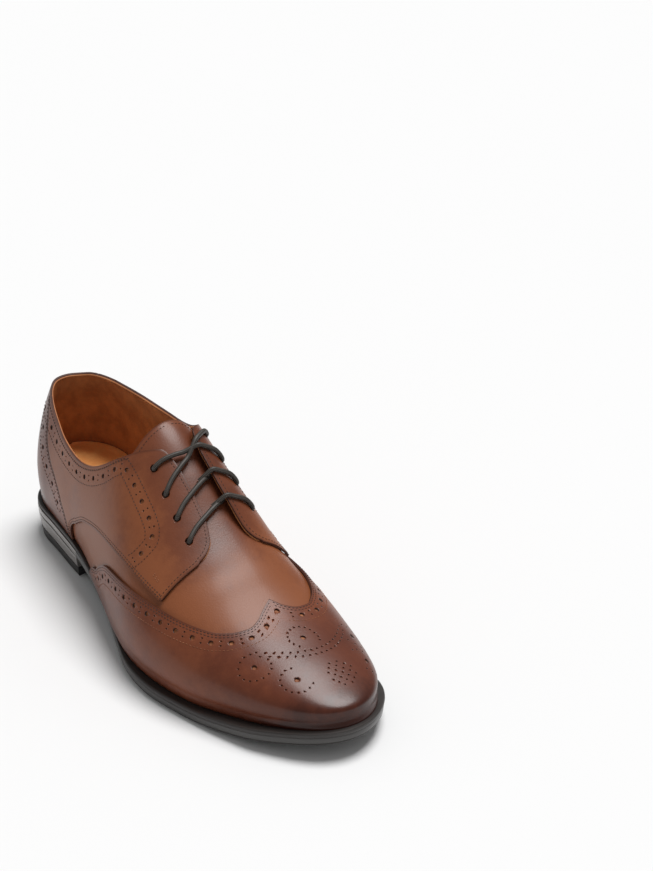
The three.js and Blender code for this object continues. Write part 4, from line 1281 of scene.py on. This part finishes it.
def close_ends(body, fill):
    """Fills the open ends of a body and turns its faces outwards."""
    pick(body)
    bpy.ops.object.mode_set(mode="EDIT")
    bpy.ops.mesh.select_mode(type="EDGE")
    bpy.ops.mesh.select_all(action="DESELECT")
    bpy.ops.mesh.select_non_manifold()
    if body.data.total_edge_sel:
        fill()
    bpy.ops.mesh.select_all(action="SELECT")
    bpy.ops.mesh.normals_make_consistent(inside=False)
    bpy.ops.object.mode_set(mode="OBJECT")


def tube(name, path, radius, sides):
    """A round strand along a path, with the length and the turn in its chart."""
    along = np.gradient(path, axis=0)
    along /= np.linalg.norm(along, axis=1)[:, None]
    across = np.cross(along[0], (0.3, 0.5, 0.81))
    frames = []
    for direction in along:
        across = across - direction * np.dot(across, direction)
        across /= np.linalg.norm(across)
        frames.append((across, np.cross(direction, across)))
    run = length_along(path)
    turn = np.linspace(0, 2 * math.pi, sides + 1)
    radius = np.broadcast_to(radius, len(path))
    points = np.empty((len(path), sides + 1, 3))
    for i, (first, second) in enumerate(frames):
        points[i] = path[i] + radius[i] * (np.cos(turn)[:, None] * first + np.sin(turn)[:, None] * second)
    chart = np.empty((len(path), sides + 1, 2))
    chart[..., 0] = run[:, None] / 10
    chart[..., 1] = turn[None] / (2 * math.pi)
    strand = grid_sheet(name, points, chart)
    edit(strand, (bpy.ops.mesh.remove_doubles, {"threshold": 1e-6}))
    close_ends(strand, bpy.ops.mesh.edge_face_add)
    smooth(strand, 60)
    return strand


def collar_piping():
    """Narrow pale edge that runs round the collar between leather and lining."""
    outer = spread(rim(OUTER), 150)
    inner = spread(rim(INNER), 150)
    line = np.vstack([outer[::-1], inner[1:]])
    path = last_point(line[:, 0], line[:, 1], facing_lift(line[:, 0], line[:, 1]))
    ends = np.minimum(np.arange(len(line)), np.arange(len(line))[::-1])
    path[:, 2] += 0.2 - 0.9 * (1 - smoothstep(ends, 0, 12))
    piece = tube("collar_edge", path, 0.15 + 0.4 * smoothstep(ends, 0, 12), sides=10)
    give(piece, "pale_edge")
    return finish_piece(piece, "insole_leather")


# Insole, with its sock

def insole():
    t = np.linspace(0, 1, 141)
    back = BACK_MARGIN + INSOLE_START
    y = back + (LAST_TOE - back) * (0.7 * (1 - np.cos(math.pi * t)) / 2 + 0.3 * t)
    inside = -UPPER_WALL - OVERLAY_FIT
    low = seat_height(y) + FIT
    cushion = CUSHION_HEIGHT * (1 - smoothstep(y, CUSHION_TOP, CUSHION_FRONT))
    high = low + INSOLE_THICKNESS + cushion

    def wall(side, height):
        girth = np.maximum(girth_at_height(y, side, height), 1e-9)
        return last_point(y, np.minimum(girth, 1.0) * side, inside)

    outer, inner = wall(1, high), wall(-1, high)
    low_outer, low_inner = last_point(y, np.ones_like(y), inside), last_point(y, -np.ones_like(y), inside)
    ring = []
    for share in np.linspace(1, -1, 33):
        x = (outer[:, 0] + inner[:, 0]) / 2 + share * (outer[:, 0] - inner[:, 0]) / 2
        dish = 1.6 * (1 - smoothstep(y, 60, 130)) * (share ** 4 - 0.15)
        edge = 0.5 * np.clip((abs(share) - 0.94) / 0.06, 0, 1) ** 2
        ring.append(np.stack([x, outer[:, 1], high + dish - edge - 0.35], -1))
    for edge_line in (low_inner, low_outer):
        ring.append(np.stack([edge_line[:, 0], edge_line[:, 1], low], -1))
    ring.append(ring[0])
    piece = closed_loft("insole_sock", np.stack(ring, 1))
    # The sock's finish is lightened as painted light on the insole.
    return finish_piece(give(piece, "sock_leather"), "insole_leather", "insole")


def closed_loft(name, points):
    """Closed body from rings of points, with both ends filled."""
    u = np.linspace(0, 1, points.shape[0])[:, None]
    v = np.linspace(0, 1, points.shape[1])[None, :]
    chart = np.stack(np.broadcast_arrays(u, v), -1)
    body = grid_sheet(name, points, chart)
    edit(body, (bpy.ops.mesh.remove_doubles, {"threshold": 2e-6}))
    close_ends(body, bpy.ops.mesh.fill)
    edit(body, (bpy.ops.mesh.dissolve_degenerate, {"threshold": 1e-7}),
         (bpy.ops.mesh.normals_make_consistent, {"inside": False}))
    smooth(body)
    return body


# Sole layers: side profiles from the lower edge to the upper one

def sole_layer(name, start, end, base, profile, count=220, heel_trim=0.0):
    """A layer with the outline of the sole. profile pairs an outward growth and a height."""
    t = np.linspace(0, 1, count + 1)
    eased = 0.82 * (1 - np.cos(math.pi * t)) / 2 + 0.18 * t

    def edge_ring(grow, height):
        y = start - grow + (end - start + 2 * grow) * eased
        outer, inner = sole_edges(y, grow)
        trim = heel_trim * (1 - smoothstep(y, HEEL_LENGTH - 14, HEEL_LENGTH + 18))
        middle = (outer + inner) / 2
        outer = middle + (outer - middle) * (1 - trim / 30)
        inner = middle + (inner - middle) * (1 - trim / 30)
        y = y + trim * (1 - smoothstep(y, -2, HEEL_ROUND_LENGTH))
        z = base(np.clip(y, start, end)) + height
        return np.stack([outer, y, z], -1), np.stack([inner, y, z], -1)

    sides = [edge_ring(*level) for level in profile]
    shares = (0.96, 0.75, 0.4, 0.0, -0.4, -0.75, -0.96)
    ring = [outer for outer, _ in sides]
    top_outer, top_inner = sides[-1]
    ring += [(top_outer + top_inner) / 2 + s * (top_outer - top_inner) / 2 for s in shares]
    ring += [inner for _, inner in reversed(sides)]
    low_outer, low_inner = sides[0]
    ring += [(low_outer + low_inner) / 2 - s * (low_outer - low_inner) / 2 for s in shares]
    ring.append(ring[0])
    return closed_loft(name, np.stack(ring, 1))


def outsole():
    t = OUTSOLE_THICKNESS
    profile = ((-1.3, 0.0), (-0.75, 0.15), (-0.35, 0.6), (-0.15, 0.95), (-0.35, 1.15), (-0.08, 1.35),
               (0.05, 2.2), (0.02, 3.3), (0.0, t - 0.35), (-0.1, t))
    layer = sole_layer("outsole_edge", 0, SOLE_LENGTH, underside_height, profile, heel_trim=0.8)
    give(layer, "sole_satin", "heel_satin")
    # The faces behind the heel breast take the heel's grey, a painted reflection of the floor.
    breast = (HEEL_LENGTH - ORIGIN[1]) / 1000
    for face in layer.data.polygons:
        face.material_index = 1 if face.center.y < breast else 0
    return layer


def welt():
    t = WELT_THICKNESS
    profile = ((-0.15, -0.28), (0.1, 0.1), (0.3, 0.8), (WELT_LIP, 1.5), (WELT_LIP - 0.1, t - 0.6),
               (0.1, t - 0.15), (-0.5, t), (-1.6, t - 0.05))
    base = lambda y: underside_height(y) + OUTSOLE_THICKNESS + FIT
    return give(sole_layer("welt_edge", 0, SOLE_LENGTH, base, profile, heel_trim=1.4), "welt_satin")


def heel_layer(name, low, high, inset_low, inset_high, rounding=0.35, count=90, levels=10):
    """Heel layer with a tapered side and a hollow front. low and high give heights at a station."""
    t = np.linspace(0, 1, count + 1)
    eased = 0.85 * (1 - np.cos(math.pi * t / 2)) + 0.15 * t
    rings = []

    def point_line(share, level, trim):
        inset = inset_low + (inset_high - inset_low) * level + trim
        y = inset + (HEEL_LENGTH - inset * 0.35 - inset) * eased
        outer, inner = sole_edges(y, -inset)
        x = (outer + inner) / 2 + share * (outer - inner) / 2
        bow = HEEL_BREAST_CURVE * (1 - np.clip(2 * x / HEEL_WIDTH, -1, 1) ** 2)
        y = y - bow * smoothstep(y, HEEL_LENGTH / 2, HEEL_LENGTH)
        z = low(y) + (high(y) - low(y)) * level
        return np.stack([x, y, z], -1)

    shares = np.linspace(1, -1, 17)
    steps = np.linspace(0, 1, levels + 1)
    trims = [rounding * max(0, 1 - min(s, 1 - s) * 14) ** 2 for s in steps]
    for s, trim in zip(steps, trims):
        rings.append(point_line(1, s, trim))
    for share in shares[1:-1]:
        rings.append(point_line(share, 1, trims[-1]))
    for s, trim in reversed(list(zip(steps, trims))):
        rings.append(point_line(-1, s, trim))
    for share in shares[::-1][1:-1]:
        rings.append(point_line(share, 0, trims[0]))
    rings.append(rings[0])
    return closed_loft(name, np.stack(rings, 1))


def heel():
    under = lambda y: underside_height(np.maximum(y, 0)) - FIT
    split = TOP_PIECE_THICKNESS
    base = heel_layer("heel_block", lambda y: np.full_like(y, split + FIT), under,
                      HEEL_INSET + HEEL_TAPER * 0.35, HEEL_INSET - 0.9)
    tread = heel_layer("heel_tread", lambda y: np.zeros_like(y), lambda y: np.full_like(y, split + 0.02),
                       HEEL_INSET + HEEL_TAPER, HEEL_INSET + HEEL_TAPER * 0.35)
    # The heel block's grey is a painted reflection of the floor.
    give(base, "heel_satin")
    give(tread, "heel_rubber")
    finish_piece(base, "sole_rubber", "heel_base")
    finish_piece(tread, "top_piece_rubber", "heel_top_piece")


# Laces, by the same route as the solids

def eyelet(index, side, grow):
    y = SOLE_LENGTH * EYELET_AT[side][index]
    girth = EYELET_GIRTH[side] * side
    lift = float(facing_lift(y, girth))
    point = last_point(y, girth, grow + lift)
    along = last_point(y + 1, girth, lift) - last_point(y - 1, girth, lift)
    across = last_point(y, girth + 0.01, lift) - last_point(y, girth - 0.01, lift)
    normal = np.cross(along, across)
    normal /= np.linalg.norm(normal)
    return point, normal * (1 if normal[2] > 0 else -1)


RIDE_SHARES = (0.12, 0.28, 0.4)
LAND_SHARES = (0.62, 0.74, 0.88)
SINK_SHARE = 0.49
SINK_DEPTH = 0.6
LACE_STEP = 0.7
UNDER_SHARES = {OUTER: (0.57, 0.64), INNER: (0.6,)}


def strand(start, side, end, ends_in_eyelet):
    """Route of one strand from an eyelet across the tongue."""
    start_y = SOLE_LENGTH * EYELET_AT[side][start]
    end_y = SOLE_LENGTH * EYELET_AT[-side][end]
    start_girth = side * EYELET_GIRTH[side]
    end_girth = -side * EYELET_GIRTH[-side]
    start_lift = float(facing_lift(start_y, side * 1e-9))
    end_lift = float(facing_lift(end_y, -side * 1e-9))
    over = OUTSIDE + LACE_DIAMETER / 2 + LACE_REST
    under = LACE_DIAMETER / 2 + LACE_REST
    in_hole = OVERLAY_FIT + OVERLAY_THICKNESS / 2
    first, first_normal = eyelet(start, side, in_hole)
    last, last_normal = eyelet(end, -side, in_hole)
    above = over - in_hole

    def place(t, grow):
        return last_point(start_y + (end_y - start_y) * t, start_girth + (end_girth - start_girth) * t, grow)

    points = [first - first_normal * 1.8, first + first_normal * above * 0.45]
    points += [place(t, start_lift + over) for t in RIDE_SHARES]
    if ends_in_eyelet:
        points.append(place(0.5, (start_lift + end_lift) / 2 + over))
        points += [place(t, end_lift + over) for t in LAND_SHARES]
        points += [last + last_normal * above * 0.45, last - last_normal * 1.8]
    else:
        points.append(place(SINK_SHARE, start_lift / 2 + over - SINK_DEPTH))
        points += [place(t, under) for t in UNDER_SHARES[side]]
    return smooth_path(points, lambda span: max(2, int(span / LACE_STEP)))


def laces():
    for index in range(3):
        for side in (OUTER, INNER):
            name = f"lace_{index + 1}_{'outer' if side > 0 else 'inner'}"
            piece = tube(name, strand(index + 1, side, index, index == 0), LACE_DIAMETER / 2, sides=18)
            give(piece, "lace_cord")
            finish_piece(piece, "waxed_lace", f"lace_crossing_{index + 1}")


# Build
make_finishes()
vamp_and_tongue()
cap = wing_cap()
counter = heel_counter()
quarters = {side: quarter(side) for side in (OUTER, INNER)}
for side in (OUTER, INNER):
    punch_eyelets(facing_lining(side), side)
lining()
collar_piping()
insole()
finish_piece(outsole(), "sole_rubber", "outsole")
finish_piece(welt(), "welt_edge", "welt")
heel()
laces()

# Holes and seams of each piece. Stations and girths at which rows start, turn or end:
BAND_TURN = 108
FACING_ROW_FROM = 134
TOP_ROW_TO = 119
TACK_FROM, TACK_TO = 173.6, 180.2
TACK_GIRTH = 0.352
TONGUE_ROW_GIRTH = 0.33
cap_dots, cap_wide = medallion()
for side in (OUTER, INNER):
    line = row(wing_seam(side), CAP_HOLES_IN, -1)[::-1]
    dots, wide = brogue(line, 1.0)
    cap_dots, cap_wide = np.vstack([cap_dots, dots]), np.concatenate([cap_wide, wide])
    if side == OUTER:
        cap_dots = np.vstack([cap_dots, [(line[0, 0], 0.0)]])
        cap_wide = np.append(cap_wide, BIG_HOLE)
punch_pattern(cap, cap_dots, cap_wide)
cap_rows = [row(wing_seam(side), gap, -1)
            for side in (OUTER, INNER) for gap in (FIRST_ROW, SECOND_ROW)]
stitches("wing_cap_seam", cap_rows, "thread_dark")
lower_rows = [row(wing_seam(side), CAP_LOWER_ROW, -1) for side in (OUTER, INNER)]
stitches("wing_cap_lower_row", lower_rows, "thread_tan")

counter_dots = [brogue(row(counter_seam(side), HOLES_IN, -1), 0.5) for side in (OUTER, INNER)]
punch_pattern(counter, *(np.concatenate(part) for part in zip(*counter_dots)))
counter_rows = [row(counter_seam(side), gap, -1) for side in (OUTER, INNER) for gap in COUNTER_ROWS_IN]
stitches("counter_seam", counter_rows, "thread_dark")

for side in (OUTER, INNER):
    top, skirt, facing, back = quarter_lines(side)
    under_rim = row(top, HOLES_IN, -1)
    front_band = seam(BAND_ROWS, side)
    if side == INNER:
        front_band[:, 1] -= 0.045 * (1 - smoothstep(front_band[:, 0], 118, 150))
    band = spread(np.vstack([under_rim[under_rim[:, 0] < BAND_TURN], front_band]), 160)
    punch_pattern(quarters[side], *brogue(band, 0.6), lift=True)
    punch_eyelets(quarters[side], side)
    word = "outer" if side > 0 else "inner"
    quarter_rows = [row(band, gap, 1) for gap in (BAND_ROW_GAP, -BAND_ROW_GAP)]
    quarter_rows += [row(skirt, gap, 1) for gap in (FIRST_ROW, SECOND_ROW)]
    quarter_rows.append(row(facing[facing[:, 0] > FACING_ROW_FROM], EDGE_ROW, -1))
    quarter_rows.append(row(top[top[:, 0] < TOP_ROW_TO], EDGE_ROW, -1))
    quarter_rows = [below(line, top) for line in quarter_rows]
    stitches("quarter_rows_" + word, quarter_rows, "thread_dark", lift=True)
    tack = straight((TACK_FROM, TACK_GIRTH * side), (TACK_TO, TACK_GIRTH * side), 12)
    stitches("bar_tack_" + word, [tack, tack + (0, 0.008 * side)], "thread_tan", lift=True)
tongue_rows = []
for side in (OUTER, INNER):
    edge = seam(VAMP_BACK_ROWS, side)
    tongue_rows.append(row(edge[np.abs(edge[:, 1]) < TONGUE_ROW_GIRTH], TONGUE_ROW, 1))
stitches("tongue_row", tongue_rows, "thread_dark", grow=0.0)
finish_piece(cap, "dark_leather", "wing_cap")
finish_piece(counter, "dark_leather", "heel_counter")
finish_piece(quarters[OUTER], "brown_leather", "quarter_outer")
finish_piece(quarters[INNER], "brown_leather", "quarter_inner")

# Floor, light and camera
deselect()
bpy.ops.mesh.primitive_plane_add(size=8, location=(0, 0, -0.0002))
floor = bpy.context.object
floor.name = "studio_floor"
n, shader, place = material("studio_white")
n.link(n.mix(n.noise(place, 3), (0.86, 0.86, 0.86, 1), (0.87, 0.87, 0.87, 1)), shader.inputs["Base Color"])
shader.inputs["Roughness"].default_value = 0.9
give(floor, "studio_white")

VIEW = {"azimuth": 146.25, "elevation": 30.44, "distance": 2124.7, "focal_px": 3610.3,
        "target": (-147.6, 60.2, 30)}
PHOTO_HEIGHT_PX = 871
azimuth = math.radians(VIEW["azimuth"])
elevation = math.radians(VIEW["elevation"])
back = Vector((math.sin(azimuth) * math.cos(elevation), -math.cos(azimuth) * math.cos(elevation),
               math.sin(elevation)))
bpy.ops.object.camera_add()
camera = bpy.context.object
camera.data.sensor_width = 36
camera.data.lens = VIEW["focal_px"] / PHOTO_HEIGHT_PX * camera.data.sensor_width
camera.location = Vector(in_frame(VIEW["target"])) + back * VIEW["distance"] / 1000
camera.rotation_mode = "QUATERNION"
camera.rotation_quaternion = (-back).to_track_quat("-Z", "Y")
camera.data.clip_start = 0.05
camera.data.clip_end = 50
bpy.context.scene.camera = camera

world = bpy.data.worlds.new("studio")
world.use_nodes = True
bpy.context.scene.world = world
world.node_tree.nodes["Background"].inputs["Color"].default_value = (1, 1, 1, 1)
world.node_tree.nodes["Background"].inputs["Strength"].default_value = 0.30

LIGHT_FROM = (-0.28, -0.07, 0.96)
bpy.ops.object.light_add(type="SUN", rotation=Vector(LIGHT_FROM).to_track_quat("Z", "Y").to_euler())
softbox = bpy.context.object
softbox.name = "large_softbox"
softbox.data.energy = 2.75
softbox.data.angle = math.radians(30)
bpy.context.scene.view_settings.view_transform = "Standard"
